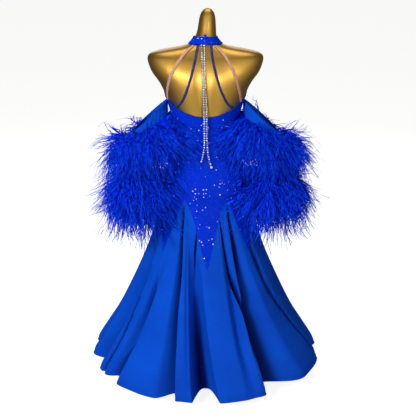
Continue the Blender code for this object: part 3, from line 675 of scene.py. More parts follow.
cord_tree, cord_in, cord_out = node_group(
    "swept_cord", [("Width", "Float"), ("Thickness", "Float"), ("Sides", "Int"), ("Finish", "Material")])
cord_way = add(cord_tree, "GeometryNodeInputNamedAttribute", data_type="FLOAT_VECTOR", Name="out")
cord_line = add(cord_tree, "GeometryNodeMeshToCurve", [("Mesh", cord_in.outputs["Geometry"])])
cord_profile = add(
    cord_tree, "GeometryNodeCurvePrimitiveCircle", [("Resolution", cord_in.outputs["Sides"])],
    Radius=1.0)
cord_scale = add(
    cord_tree, "ShaderNodeCombineXYZ",
    [("X", cord_in.outputs["Thickness"]), ("Y", cord_in.outputs["Width"])], Z=1.0)
cord_shape = add(
    cord_tree, "GeometryNodeTransform",
    [("Geometry", cord_profile.outputs["Curve"]), ("Scale", cord_scale.outputs["Vector"])])
cord_normal = add(
    cord_tree, "GeometryNodeSetCurveNormal",
    [("Curve", cord_line.outputs["Curve"]), ("Normal", cord_way.outputs["Attribute"])], mode="FREE")
cord_sweep = add(
    cord_tree, "GeometryNodeCurveToMesh",
    [("Curve", cord_normal.outputs["Curve"]), ("Profile Curve", cord_shape.outputs["Geometry"])],
    Fill_Caps=True)
dress(cord_tree, cord_in, cord_out, cord_sweep.outputs["Mesh"])


def swept(name, points, width, thickness, finish, nodes=(), outs=None, closed=False, sides=10):
    """A cord, roll or flat elastic along a line: half width across it, half thickness off it."""
    settings = {"Width": width, "Thickness": thickness, "Sides": sides, "Finish": finish}
    return grown(name, line_mesh(name, points, outs, closed), cord_tree, finish, settings, nodes)


row_tree, row_in, row_out = node_group("row_of_pieces", [("Piece", "Object"), ("Finish", "Material")])
row_way = add(row_tree, "GeometryNodeInputNamedAttribute", data_type="FLOAT_VECTOR", Name="way")
row_side = add(row_tree, "GeometryNodeInputNamedAttribute", data_type="FLOAT_VECTOR", Name="out")
row_points = add(row_tree, "GeometryNodeMeshToPoints", [("Mesh", row_in.outputs["Geometry"])])
row_up = add(
    row_tree, "FunctionNodeAlignRotationToVector", [("Vector", row_side.outputs["Attribute"])],
    axis="Z")
row_turn = add(
    row_tree, "FunctionNodeAlignRotationToVector",
    [("Rotation", row_up.outputs["Rotation"]), ("Vector", row_way.outputs["Attribute"])], axis="X",
    pivot_axis="Z")
row_piece = add(row_tree, "GeometryNodeObjectInfo", [("Object", row_in.outputs["Piece"])])
row_set = add(row_tree, "GeometryNodeInstanceOnPoints",
              [("Points", row_points.outputs["Points"]), ("Instance", row_piece.outputs["Geometry"]),
               ("Rotation", row_turn.outputs["Rotation"])])
dress(row_tree, row_in, row_out, row_set.outputs["Instances"])

scatter_tree, scatter_in, scatter_out = node_group(
    "scattered_pieces",
    [
        ("Piece", "Object"), ("Density", "Float"), ("Least Gap", "Float"), ("Tilt", "Float"),
        ("Least Size", "Float"), ("Seed", "Int"), ("Finish", "Material")])
scatter_share = add(scatter_tree, "GeometryNodeInputNamedAttribute", data_type="FLOAT", Name="sparkle")
scatter_share = next(s for s in scatter_share.outputs if s.name == "Attribute" and s.type == "VALUE")
scatter_points = add(
    scatter_tree, "GeometryNodeDistributePointsOnFaces",
    [
        ("Mesh", scatter_in.outputs["Geometry"]), ("Distance Min", scatter_in.outputs["Least Gap"]),
        ("Density Max", scatter_in.outputs["Density"]), ("Density Factor", scatter_share),
        ("Seed", scatter_in.outputs["Seed"])],
    distribute_method="POISSON")
scatter_low = add(scatter_tree, "ShaderNodeMath", [(0, scatter_in.outputs["Tilt"])], operation="MULTIPLY")
scatter_low.inputs[1].default_value = -1.0
scatter_least = add(
    scatter_tree, "ShaderNodeCombineXYZ",
    [("X", scatter_low.outputs["Value"]), ("Y", scatter_low.outputs["Value"])], Z=-3.1)
scatter_most = add(
    scatter_tree, "ShaderNodeCombineXYZ",
    [("X", scatter_in.outputs["Tilt"]), ("Y", scatter_in.outputs["Tilt"])], Z=3.1)
scatter_any = add(scatter_tree, "FunctionNodeRandomValue", data_type="FLOAT_VECTOR")
for socket in scatter_any.inputs:
    if socket.name == "Min" and socket.type == "VECTOR":
        scatter_tree.links.new(scatter_least.outputs["Vector"], socket)
    if socket.name == "Max" and socket.type == "VECTOR":
        scatter_tree.links.new(scatter_most.outputs["Vector"], socket)
scatter_spin = add(
    scatter_tree, "FunctionNodeRotateRotation",
    [("Rotation", scatter_points.outputs["Rotation"]), ("Rotate By", scatter_any.outputs[0])],
    rotation_space="LOCAL")
scatter_size = add(scatter_tree, "FunctionNodeRandomValue", data_type="FLOAT")
for socket in scatter_size.inputs:
    if socket.name == "Min" and socket.type == "VALUE":
        scatter_tree.links.new(scatter_in.outputs["Least Size"], socket)
scatter_scale = next(s for s in scatter_size.outputs if s.type == "VALUE")
scatter_piece = add(scatter_tree, "GeometryNodeObjectInfo", [("Object", scatter_in.outputs["Piece"])])
scatter_set = add(
    scatter_tree, "GeometryNodeInstanceOnPoints",
    [
        ("Points", scatter_points.outputs["Points"]), ("Instance", scatter_piece.outputs["Geometry"]),
        ("Rotation", scatter_spin.outputs["Rotation"]), ("Scale", scatter_scale)])
dress(scatter_tree, scatter_in, scatter_out, scatter_set.outputs["Instances"])


def pattern_object(name, points, faces):
    """A small shape that is repeated, kept out of the scene."""
    mesh = bpy.data.meshes.new(name)
    mesh.from_pydata(points, [], faces)
    return bpy.data.objects.new(name, mesh)


def cut_stone(name, radius, height, sides, lift=0.0):
    """A flat-backed stone: girdle, crown facets and table."""
    points = []
    for share, level in ((1.0, 0.0), (1.0, 0.30), (0.55, 1.0)):
        for k in range(sides):
            turn = 2 * math.pi * (k + (0.5 if level == 1.0 else 0.0)) / sides
            points.append(
                (
                    radius * share * math.cos(turn), radius * share * math.sin(turn),
                    lift + height * level))
    faces = [tuple(reversed(range(sides))), tuple(range(2 * sides, 3 * sides))]
    for k in range(sides):
        n = (k + 1) % sides
        faces.append((k, n, sides + n, sides + k))
        faces.append((sides + k, sides + n, 2 * sides + k))
        faces.append((sides + n, 2 * sides + n, 2 * sides + k))
    return pattern_object(name, points, faces)


def flat_disc(name, radius, height, sides):
    """A thin disc, for a sequin."""
    points = []
    for level in (0.0, height):
        points += [
            (
                radius * math.cos(2 * math.pi * k / sides),
                radius * math.sin(2 * math.pi * k / sides), level)
            for k in range(sides)]
    faces = [tuple(reversed(range(sides))), tuple(range(sides, 2 * sides))]
    faces += [(k, (k + 1) % sides, sides + (k + 1) % sides, sides + k) for k in range(sides)]
    return pattern_object(name, points, faces)


def sparkling(mesh, share_at):
    """Marks a mesh with the share of the stones that its places get."""
    share = mesh.attributes.new("sparkle", "FLOAT", "POINT")
    for k, vert in enumerate(mesh.vertices):
        share.data[k].value = share_at(vert.co)
    return mesh


def crystal_share(place):
    """Crystals lie in loose clusters on the back, with a few between them."""
    total = CRYSTALS_EVERYWHERE
    for x, height, spread, share in CRYSTAL_CLUSTERS:
        total += share * math.exp(-(((place.x - x) ** 2 + (place.z - height) ** 2) / spread**2))
    return min(1.0, total)


def body_edge():
    """The turned edge of the body: up one side of the halter and round the bare back."""
    halter_left, halter_right = [], []
    for height in [front_top - (front_top - SIDE_TOP) * k / 60 for k in range(61)]:
        for line, mirrored in ((halter_left, -1), (halter_right, 1)):
            angle = 180.0 - mirrored * smooth_read(HALTER, height)[0]
            line.append(around(angle, gown_radius(angle, height) - WALL / 2, height))
    back = [
        around(a, gown_radius(a, back_neckline(a)) - WALL / 2, back_neckline(a))
        for a in evenly(-90.0, 90.0, 1.5)]
    return halter_left + back[1:-1] + list(reversed(halter_right))


edge_line = walked(body_edge(), 0.004)
swept("body_binding", edge_line, BINDING_RADIUS * 1.5, BINDING_RADIUS, jersey)


def painted_facet_flashes(name, colour, roughness, metallic, scale, stops, **sockets):
    """Cut glass with painted flashes: cells of its surface are painted in darker and lighter shades, a
    painted reflection of its facets.
    """
    made, tree, shader = principled(name, colour, roughness, metallic, **sockets)
    tinted(tree, shader, facets(tree, scale).outputs["Red"], stops)
    return made


SEQUIN_BLUE = (0.0003, 0.005, 0.20, 1.0)
SEQUIN_GLINT_PAINT = (0.060, 0.200, 1.0, 1.0)
sequin_finish, sequin_tree, sequin_shader = principled(
    "blue_sequin", SEQUIN_BLUE, 0.30, 0.45, Coat_Weight=0.3, Coat_Roughness=0.10)
# A share of the sequins is painted pale blue, as painted glints.
sequin_glint_cells = texture(sequin_tree, "Noise", Scale=310.0, Detail=1.0)
tinted(sequin_tree, sequin_shader, sequin_glint_cells.outputs["Fac"], [(0.46, SEQUIN_BLUE), (0.70, SEQUIN_GLINT_PAINT)])
CRYSTAL = (0.88, 0.92, 0.98, 1.0)
# Clear crystals with painted flashes: their facets are painted in darker and lighter shades.
crystal = painted_facet_flashes(
    "clear_crystal", CRYSTAL, 0.08, 0.15, 900.0,
    [(0.0, (0.46, 0.52, 0.62, 1.0)), (0.40, CRYSTAL), (1.0, (1.0, 1.0, 1.0, 1.0))],
    Coat_Weight=1.0, Coat_Roughness=0.03)

sequin = flat_disc("sequin_shape", SEQUIN_RADIUS, SEQUIN_THICKNESS, 6)
body_crystal = cut_stone("crystal_shape", CRYSTAL_RADIUS, CRYSTAL_HEIGHT, 6, CRYSTAL_GLUE)


def scattered(name, rows, share_at, shape, finish, density, gap, tilt, least, seed):
    """Small pieces glued over a sheet of cloth, as dense as share_at says."""
    settings = {"Piece": shape, "Density": density, "Least Gap": gap, "Tilt": tilt, "Least Size": least,
                "Seed": seed, "Finish": finish}
    grown(name, sparkling(sheet_mesh(name, rows), share_at), scatter_tree, finish, settings)


def everywhere(place):
    return 1.0


for name, rows in body_sheets.items():
    scattered(name + "_sequins", rows, everywhere, sequin, sequin_finish,
              SEQUIN_DENSITY, SEQUIN_GAP, 0.12, 0.70, SCATTER_SEED)
    scattered(name + "_crystals", rows, crystal_share, body_crystal, crystal,
              CRYSTAL_DENSITY, CRYSTAL_GAP, 0.10, 0.30, SCATTER_SEED + 5)

# The neckband is a straight collar of the same jersey over a stiff band. It is closed at the
# nape by a covered button, and its two edges are turned and stitched.
NECKBAND_HEIGHT = 0.023
NECKBAND_EASE = 0.0052
NECKBAND_OPENING = 0.5
BAND_CRYSTAL_DENSITY = 3500.0
BAND_CRYSTAL_GAP = 0.008
BUTTON_RADIUS = 0.0052
BUTTON_DEPTH = 0.0020
BUTTON_LIFT = 0.0012

band_turns = evenly(NECKBAND_OPENING, 360.0 - NECKBAND_OPENING, 3.0)
band_rows = []
for k in range(9):
    row = []
    for angle in band_turns:
        height = neckband_low(angle) + NECKBAND_HEIGHT * k / 8
        row.append(around(angle, form_radius(angle, height) + NECKBAND_EASE, height))
    band_rows.append(row)
cloth_piece(
    "neckband_cloth", band_rows, jersey, ["neckband"])
for label, row in (("low", band_rows[0]), ("high", band_rows[-1])):
    line = [p - Vector((p.x, p.y, 0.0)).normalized() * WALL / 2 for p in row]
    swept(
        "neckband_edge_" + label, line, BINDING_RADIUS, BINDING_RADIUS * 0.8, jersey,
        sides=8)
scattered("neckband_crystals", band_rows, everywhere, body_crystal, crystal,
          BAND_CRYSTAL_DENSITY, BAND_CRYSTAL_GAP, 0.10, 0.25, SCATTER_SEED + 9)

# The button is a covered disc at the nape. The loop that holds it is knotted above the band, and
# both are of the band's jersey.
LOOP_KNOT = 0.0050
LOOP_HEIGHT = 1.3660


def ball(name, radius, around_it, up_it, place):
    """A round bead at a place."""
    bead = bmesh.new()
    bmesh.ops.create_uvsphere(bead, u_segments=around_it, v_segments=up_it, radius=radius)
    bmesh.ops.translate(bead, verts=bead.verts, vec=Vector(place))
    return meshed(name, bead)


button_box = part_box("neck_button")
button_middle = (Vector(button_box[0]) + Vector(button_box[1])) / 2 + Vector((0.0, 0.0, BUTTON_LIFT))
button = bmesh.new()
bmesh.ops.create_uvsphere(button, u_segments=28, v_segments=16, radius=1.0)
for vert in button.verts:
    vert.co = Vector(
        (vert.co.x * BUTTON_RADIUS, vert.co.z * BUTTON_DEPTH, vert.co.y * BUTTON_RADIUS)
    ) + button_middle
bmesh.ops.recalc_face_normals(button, faces=button.faces)
button_mesh = meshed("covered_button", button)
put("covered_button", button_mesh, jersey, ["neck_button"])
put(
    "loop_knot",
    ball("loop_knot", LOOP_KNOT, 18, 12, (button_middle.x, button_middle.y + 0.0025, LOOP_HEIGHT)),
    jersey)

# The skirt is six godets of crepe chiffon, set into the peaks of the zigzag seam. The cloth
# falls from each peak in deep folds, and more of it stands out at the hem than at the hip.
HEM_HEIGHT = 0.055
BAND_TOP = 0.135
PEAK_PULL = 1.6
# Godets: name, seam angles of the first tip, the peak and the second tip, where the same three
# lines arrive at the hem, and the step between columns there, all in degrees
GODETS = (
    ("back_left", -52.5, -33.8, CENTRE_BACK, -65.0, -18.5, 12.5, 0.42),
    ("back_right", CENTRE_BACK, 34.6, 52.5, 12.5, 38.5, 69.0, 0.40),
    ("side_right", 52.5, 90.0, 119.0, 69.0, 86.0, 117.0, 0.70),
    ("front_right", 119.0, 146.2, 180.0, 117.0, 148.5, 180.0, 1.00),
    ("front_left", 180.0, 213.8, 241.0, 180.0, 211.0, 241.0, 1.00),
    ("side_left", 241.0, 270.0, 307.5, 241.0, 269.0, 295.0, 0.70),
)
# Folds: angle at the hem, reach to the left and to the right, depth at the hem, more depth half
# way down, and the share of the way down at which the fold starts
FOLDS = (
    (-56.5, 5.5, 6.0, 0.034, 0.014, 0.15),
    (-18.5, 10.0, 2.6, 0.052, 0.034, 0.0),
    (-7.5, 3.2, 3.2, 0.000, 0.012, 0.0),
    (-0.2, 7.0, 8.0, 0.100, 0.030, 0.06),
    (27.0, 6.0, 5.0, 0.004, 0.026, 0.0),
    (38.5, 5.5, 22.0, 0.082, 0.046, 0.0),
    (86.0, 6.5, 8.0, 0.055, 0.032, 0.0),
    (104.0, 7.5, 7.0, 0.045, 0.020, 0.05),
    (131.0, 7.0, 6.5, 0.050, 0.024, 0.02),
    (148.5, 6.5, 8.0, 0.070, 0.040, 0.0),
    (168.0, 6.5, 7.0, 0.050, 0.022, 0.05),
    (193.0, 7.0, 6.5, 0.050, 0.022, 0.05),
    (211.0, 7.0, 8.5, 0.074, 0.040, 0.0),
    (230.0, 6.0, 6.0, 0.040, 0.024, 0.05),
    (252.0, 6.0, 7.0, 0.050, 0.022, 0.04),
    (269.0, 6.5, 6.0, 0.062, 0.036, 0.0),
    (286.0, 10.0, 5.5, 0.062, 0.028, 0.02),
)
# The fold that opens as an arch at the hem has a flat floor and steep sides
ARCH = -0.2
# Sharp creases of the back, from the top down: height, angle, depth, reach to the left, to the right
CREASES = (
    (
        (0.745, -35.8, 0.000, 0.005, 0.005), (0.700, -34.2, 0.012, 0.006, 0.005),
        (0.609, -30.8, 0.026, 0.010, 0.005), (0.495, -26.6, 0.034, 0.013, 0.005),
        (0.361, -24.5, 0.034, 0.014, 0.005), (0.208, -21.1, 0.026, 0.014, 0.005),
        (0.129, -18.6, 0.018, 0.014, 0.005), (0.055, -17.5, 0.012, 0.014, 0.005)),
    (
        (0.660, -10.5, 0.000, 0.006, 0.005), (0.620, -12.0, 0.008, 0.006, 0.005),
        (0.581, -13.4, 0.012, 0.007, 0.005), (0.539, -14.0, 0.010, 0.007, 0.005),
        (0.490, -13.7, 0.004, 0.007, 0.005), (0.430, -13.2, 0.000, 0.007, 0.005)),
    (
        (0.690, 22.0, 0.000, 0.005, 0.006), (0.661, 22.5, 0.010, 0.005, 0.007),
        (0.562, 24.2, 0.022, 0.005, 0.010), (0.486, 26.4, 0.026, 0.005, 0.012),
        (0.412, 29.6, 0.026, 0.006, 0.014), (0.356, 31.9, 0.024, 0.006, 0.014),
        (0.291, 33.0, 0.020, 0.006, 0.012), (0.231, 33.0, 0.012, 0.006, 0.012),
        (0.170, 33.0, 0.000, 0.006, 0.012)),
    (
        (0.745, 36.6, 0.000, 0.005, 0.005), (0.680, 36.8, 0.014, 0.005, 0.006),
        (0.625, 39.0, 0.022, 0.005, 0.007), (0.537, 40.0, 0.030, 0.005, 0.009),
        (0.454, 39.2, 0.034, 0.005, 0.010), (0.350, 38.3, 0.036, 0.005, 0.011),
        (0.251, 36.5, 0.036, 0.005, 0.011), (0.169, 36.0, 0.036, 0.005, 0.011),
        (0.117, 36.7, 0.036, 0.005, 0.011), (0.055, 37.0, 0.036, 0.005, 0.011)),
    (
        (0.700, 66.0, 0.000, 0.005, 0.007), (0.666, 64.0, 0.012, 0.005, 0.009),
        (0.572, 57.8, 0.022, 0.005, 0.011), (0.506, 60.0, 0.026, 0.005, 0.012),
        (0.426, 61.3, 0.028, 0.005, 0.012), (0.348, 64.8, 0.028, 0.005, 0.012),
        (0.283, 69.2, 0.026, 0.005, 0.012), (0.218, 72.9, 0.024, 0.005, 0.012),
        (0.169, 75.8, 0.020, 0.005, 0.012), (0.055, 80.0, 0.012, 0.005, 0.012)),
    (
        (0.500, -62.5, 0.000, 0.012, 0.005), (0.462, -63.5, 0.008, 0.012, 0.005),
        (0.398, -63.5, 0.016, 0.012, 0.005), (0.322, -63.5, 0.022, 0.013, 0.005),
        (0.242, -63.3, 0.024, 0.013, 0.005), (0.183, -62.5, 0.024, 0.013, 0.005),
        (0.138, -63.0, 0.024, 0.013, 0.005), (0.055, -64.0, 0.022, 0.013, 0.005)),
    (
        (0.500, -52.1, 0.000, 0.016, 0.005), (0.409, -51.6, 0.006, 0.020, 0.005),
        (0.326, -50.8, 0.012, 0.024, 0.005), (0.253, -50.0, 0.018, 0.026, 0.005),
        (0.198, -50.0, 0.022, 0.028, 0.005), (0.153, -53.0, 0.022, 0.028, 0.005),
        (0.100, -55.0, 0.014, 0.028, 0.005), (0.055, -56.0, 0.008, 0.028, 0.005)))
CRISP_REACH = 0.0065
CREASE_GAIN = 1.30
# DEEPEST_CREASE and ARCH_SHADE set how deep a crease and a fold must be for the full painted shade;
# ARCH_SIDE and ARCH_FADE set the span right of the arch where that painted shade fades out.
DEEPEST_CREASE = 0.036
ARCH_SHADE = 0.014
ARCH_SIDE = 9.0
ARCH_FADE = 5.0
SKIRT_ROWS = 66
BAND_ROWS = 14
# Unevenness of the cloth: waves round the hem, their shift, their size
RIPPLES = ((7.3, 0.9, 0.0022), (13.7, 2.4, 0.0015), (23.0, 4.1, 0.0008))
CHIFFON_DEEP = (0.0012, 0.048, 0.42, 1.0)
CHIFFON_LIGHT = (0.0018, 0.072, 0.57, 1.0)
# Painted shade of the folds: the cloth's colour is multiplied by this, from white outside the folds to near
# black deep in them.
PAINTED_FOLD_SHADE = ((0.0, (1.0, 1.0, 1.0, 1.0)), (0.12, (0.86, 0.86, 0.88, 1.0)), (0.30, (0.42, 0.38, 0.46, 1.0)),
          (0.60, (0.07, 0.05, 0.14, 1.0)))
crease_rows = [tuple(reversed(crease)) for crease in CREASES]


def godet_column(godet, hem_angle):
    """Seam angle and seam height of the column that reaches the hem at hem_angle."""
    _, from_tip, peak, to_tip, hem_from, hem_peak, hem_to, _ = godet
    side = hem_angle >= hem_peak
    end, tip = (hem_to, to_tip) if side else (hem_from, from_tip)
    q = abs(hem_angle - hem_peak) / abs(end - hem_peak)
    angle = peak + (tip - peak) * q**PEAK_PULL
    return angle, seam_height(angle) - SEAM_DROP


def fold_depth(hem_angle, share):
    """How far the cloth lies inside the flare, at a share of the way down its column."""
    total = 0.0
    for centre, left, right, at_hem, half_way, start in FOLDS:
        away = (hem_angle - centre + 180.0) % 360.0 - 180.0
        reach = left if away < 0 else right
        run = (share - start) / (1.0 - start)
        if abs(away) < reach and run > 0:
            depth = at_hem * run**1.5 + half_way * 5.4 * run**1.5 * (1 - run)
            u = abs(away) / reach
            total += depth * (1 - u**3 if centre == ARCH else math.cos(math.pi / 2 * u) ** 2)
    return total


def crease_depth(angle, height, radius):
    """How far the sharp creases take the cloth in: each has a steep side and a gentle one."""
    total = 0.0
    turned = (angle + 180.0) % 360.0 - 180.0
    for rows in crease_rows:
        if height >= rows[-1][0]:
            continue
        centre, deep, left, right = smooth_read(rows, height)
        away = math.radians(turned - centre) * radius
        reach = left if away < 0 else right
        u = abs(away) / reach
        if u < 1:
            total += CREASE_GAIN * max(0.0, deep) * (
                1 - u**2.5 if reach <= CRISP_REACH else math.cos(math.pi / 2 * u) ** 2)
    return total


def ripple(hem_angle, share):
    """Small unevenness of the cloth between the folds."""
    turn = math.radians(hem_angle % 360.0)
    return share * sum(
        size * (1 + math.sin(turn * round(count) + shift + 2.2 * share))
        for count, shift, size in RIPPLES)


def skirt_point(hem_angle, height, seam):
    start_angle, start_height = seam
    share = (start_height - height) / (start_height - HEM_HEIGHT)
    angle = start_angle + (hem_angle - start_angle) * share
    flare = gown_radius(angle, height)
    radius = flare - fold_depth(hem_angle, share) - ripple(hem_angle, share) - crease_depth(
        angle, height, flare)
    return around(angle, radius, height)


def mark_fold_shade(piece, turns, seams, heights):
    """How deep in a fold each point of a panel lies, from 0 to 1, as an attribute of its mesh that paints
    shade into the folds.
    """
    found = []
    for row in heights:
        for turn, seam, height in zip(turns, seams, row):
            share = (seam[1] - height) / (seam[1] - HEM_HEIGHT)
            angle = seam[0] + (turn - seam[0]) * share
            # Right of the arch's middle the painted shade fades out, so the arch's floor is painted dark
            # only under its left wall, a painted cast shadow.
            aside = (turn - ARCH + 180.0) % 360.0 - 180.0
            away = 1.0 if aside < 0 or aside > ARCH_SIDE else max(0.0, 1 - aside / ARCH_FADE)
            sunk = crease_depth(angle, height, gown_radius(angle, height)) / DEEPEST_CREASE
            found.append(min(1.0, sunk + away * fold_depth(turn, share) ** 2 / ARCH_SHADE))
    piece.data.attributes.new("fold_shade_mask", "FLOAT", "POINT").data.foreach_set("value", found)


def crepe(name, deep, light, bump):
    """Fine matt crepe: clouded colour, a painted shade in the depth of the folds, and the crimp of the
    yarn.
    """
    made, tree, shader = principled(name, light, 0.80, 0.0, Specular_IOR_Level=0.07)
    cloud = texture(tree, "Noise", Scale=5.0, Detail=5.0, Roughness=0.6)
    tint = ramp(tree, cloud.outputs["Fac"], [(0.25, deep), (0.75, light)])
    fold_shade_mask = tree.nodes.new("ShaderNodeAttribute")
    fold_shade_mask.attribute_name = "fold_shade_mask"
    fold_shade_ramp = ramp(tree, fold_shade_mask.outputs["Fac"], PAINTED_FOLD_SHADE)
    # The cloud's colour is multiplied by the painted fold shade.
    shaded_tint = tree.nodes.new("ShaderNodeVectorMath")
    shaded_tint.operation = "MULTIPLY"
    tree.links.new(tint.outputs["Color"], shaded_tint.inputs[0])
    tree.links.new(fold_shade_ramp.outputs["Color"], shaded_tint.inputs[1])
    tree.links.new(shaded_tint.outputs["Vector"], shader.inputs["Base Color"])
    crimp = texture(tree, "Noise", "UV", Scale=900.0, Detail=2.0, Roughness=0.6)
    slubs = texture(tree, "Wave", "UV", Scale=160.0, Distortion=3.0, Detail=2.0)
    both = blended(tree, slubs.outputs["Fac"], 0.35, crimp.outputs["Fac"])
    roughened(tree, shader, both, bump, 0.0004)
    return made


chiffon = crepe("crepe_chiffon", CHIFFON_DEEP, CHIFFON_LIGHT, 0.30)
hem_crepe = crepe("hem_crepe", (0.0012, 0.046, 0.41, 1.0), (0.0018, 0.070, 0.56, 1.0), 0.45)

hem_lines = {}
band_lines = {}
for godet in GODETS:
    name, hem_from, hem_to, column = godet[0], godet[4], godet[6], godet[7]
    hem_angles = evenly(hem_from, godet[5], column) + evenly(godet[5], hem_to, column)[1:]
    seams = [godet_column(godet, angle) for angle in hem_angles]
    clear = math.degrees(SEAM_GAP / 2 / 0.2)
    turns = [hem_angles[0] + clear] + hem_angles[1:-1] + [hem_angles[-1] - clear]
    seams[0] = (seams[0][0] + clear, seams[0][1])
    seams[-1] = (seams[-1][0] - clear, seams[-1][1])
    shares = [(k / SKIRT_ROWS) ** 1.25 for k in range(SKIRT_ROWS, -1, -1)]
    panel_heights = [[s[1] - (s[1] - BAND_TOP) * share for s in seams] for share in shares]
    band_top = BAND_TOP - SEAM_GAP
    band_heights = [
        [band_top - (band_top - HEM_HEIGHT) * k / BAND_ROWS] * len(seams)
        for k in range(BAND_ROWS, -1, -1)]
    panel = [[skirt_point(a, z, s) for a, s, z in zip(turns, seams, row)] for row in panel_heights]
    band = [[skirt_point(a, z, s) for a, s, z in zip(turns, seams, row)] for row in band_heights]
    cloth = cloth_piece(
        f"skirt_{name}_cloth", panel, chiffon, ["skirt_" + name])
    mark_fold_shade(cloth, turns, seams, panel_heights)
    cloth = cloth_piece(
        f"hem_{name}_cloth", band, hem_crepe, ["hem_band_" + name])
    mark_fold_shade(cloth, turns, seams, band_heights)
    hem_lines[name] = band[0]
    band_lines[name] = band[-2]

# The hem is rolled to the inside over the horsehair and held by two rows of machine stitches; one row is
# drawn, near the band's top.
HEM_ROLL = 0.0016
STITCH_LENGTH = 0.0034
STITCH_PITCH = 0.0052
THREAD = (0.001, 0.034, 0.30, 1.0)

thread, thread_tree, thread_shader = principled("blue_thread", THREAD, 0.6, 0.0, Specular_IOR_Level=0.2)
thread_ply = texture(thread_tree, "Wave", Scale=900.0, Distortion=1.0)
roughened(thread_tree, thread_shader, thread_ply.outputs["Fac"], 0.4, 0.0002)
stitch = bmesh.new()
bmesh.ops.create_uvsphere(stitch, u_segments=6, v_segments=4, radius=1.0)
for vert in stitch.verts:
    vert.co = Vector((vert.co.z * STITCH_LENGTH / 2, vert.co.x * 0.00040, vert.co.y * 0.00035))
bmesh.ops.recalc_face_normals(stitch, faces=stitch.faces)
stitch_mesh = meshed("stitch_shape", stitch)
stitch_shape = bpy.data.objects.new("stitch_shape", stitch_mesh)


def stitched(name, line, closed=False):
    """A row of stitches along a line that lies on the cloth."""
    points = walked(line, STITCH_PITCH, closed)
    return grown(
        name, line_mesh(name, points, closed=closed), row_tree, thread,
        {"Piece": stitch_shape, "Finish": thread})


for name, line in hem_lines.items():
    roll = walked([p + Vector((0.0, 0.0, HEM_ROLL * 0.6)) for p in line], 0.004)
    swept(f"hem_roll_{name}", roll, HEM_ROLL, HEM_ROLL, hem_crepe, sides=8)
    stitched(f"hem_stitches_{name}", band_lines[name])

# The two sleeves stand off the shoulders: open tubes of the same chiffon, gathered on elastic
# at the top and the cuff, and sewn to the body under the arm.
# Sections of a sleeve from the top down: place across, height, half width, half depth, tilt
SLEEVE = (
    (0.2120, 1.0640, 0.0930, 0.0620, 42.0),
    (0.2270, 1.0240, 0.0950, 0.0670, 28.0),
    (0.2320, 1.0050, 0.0930, 0.0670, 24.0),
    (0.2440, 0.9550, 0.0850, 0.0610, 10.0),
    (0.2600, 0.9050, 0.0680, 0.0540, 2.0),
    (0.2680, 0.8560, 0.0600, 0.0490, 0.0),
    (0.2700, 0.8370, 0.0590, 0.0480, 0.0),
    (0.2730, 0.7750, 0.0640, 0.0520, 0.0),
)
SLEEVE_CLEAR = 0.0006
GATHERS = 26
SLEEVE_COLUMNS = 156
SLEEVE_ROWS = 44
sleeve_keyed = tuple((float(k),) + row for k, row in enumerate(SLEEVE))


def pressed_off_body(point, clearance):
    """The point, moved straight out from the axis where the gown would be in its way."""
    angle = math.degrees(math.atan2(point.x, -point.y))
    least = gown_radius(angle, point.z) + clearance
    return point if math.hypot(point.x, point.y) >= least else around(angle, least, point.z)


def sleeve_point(side, along, turn, pucker=0.0):
    """A point of the sleeve's outer face: along counts its sections from the top."""
    x, height, half_width, half_depth, tilt = smooth_read(sleeve_keyed, along)
    swell = pucker * math.sin(math.radians(turn * GATHERS) + 0.8 * math.sin(math.radians(3 * turn)))
    out = (half_width + swell) * math.cos(math.radians(turn))
    lean = math.radians(tilt)
    across = x + out * math.cos(lean)
    deep = (half_depth + swell) * math.sin(math.radians(turn))
    return pressed_off_body(Vector((across * side, deep, height - out * math.sin(lean))), SLEEVE_CLEAR)


for label, side in (("left", -1), ("right", 1)):
    rows = []
    for k in range(SLEEVE_ROWS, -1, -1):
        along = (len(SLEEVE) - 1) * k / SLEEVE_ROWS
        edge = min(along, len(SLEEVE) - 1 - along)
        pucker = -0.0011 * (0.35 + 0.65 * math.exp(-edge / 0.8))
        turns = [360.0 * c / SLEEVE_COLUMNS * side for c in range(SLEEVE_COLUMNS)]
        rows.append([sleeve_point(side, along, turn, pucker) for turn in turns])
    cloth_piece("sleeve_%s_cloth" % label, rows, chiffon, ["sleeve_" + label],
                closed=True)
    for edge, row in (("cuff", rows[0]), ("top", rows[-1])):
        swept(
            f"sleeve_{label}_{edge}_elastic", row, 0.0020, 0.0011, chiffon, closed=True,
            sides=8)

# Ostrich fringe goes round each sleeve twice: a tape with hundreds of plumes sewn into it, each
# a bundle of curled barbs that springs out and then droops under its own weight.
# Fringes: the sleeve's sections at the tape's top and foot and at the lowest roots, the plumes'
# rises in degrees, and their droop, length, share of it at the body and outside, and number
FRINGES = {
    "upper": {
        "top": 1.02, "foot": 1.98, "roots": 2.30, "rises": (-84.0, 40.0), "droop": 0.50,
        "length": 0.162, "inner": 1.08, "outer": 1.0, "plumes": 490},
    "lower": {
        "top": 5.02, "foot": 5.98, "roots": 6.90, "rises": (-87.0, 4.0), "droop": 0.46,
        "length": 0.222, "inner": 0.96, "outer": 0.64, "plumes": 490},}
PLUME_LENGTH = 0.150
FRINGE_CLEARANCE = 0.016
TAPE_OFF = 0.0016
TAPE_COLUMNS = 72
GUARD_ROWS = 60
GUARD_LOW = 0.45
GUARD_HIGH = 1.325
STRAY = (0.45, 0.45, 0.25)
DROOP_BEND = 1.8
BREEZE = 0.10
PLUME_KINDS = 9
BARBS = 8
BARB_STEPS = 6
BARB_RADIUS = 0.0020
FEATHER_SEED = 23
FEATHER_ROOT_SHADE = (0.0002, 0.004, 0.18, 1.0)
FEATHER_MIDDLE = (0.0012, 0.028, 0.90, 1.0)
FEATHER_TIP = (0.006, 0.095, 1.0, 1.0)

feather, feather_tree, feather_shader = principled(
    "ostrich_barb", FEATHER_MIDDLE, 0.65, 0.0, Specular_IOR_Level=0.06)
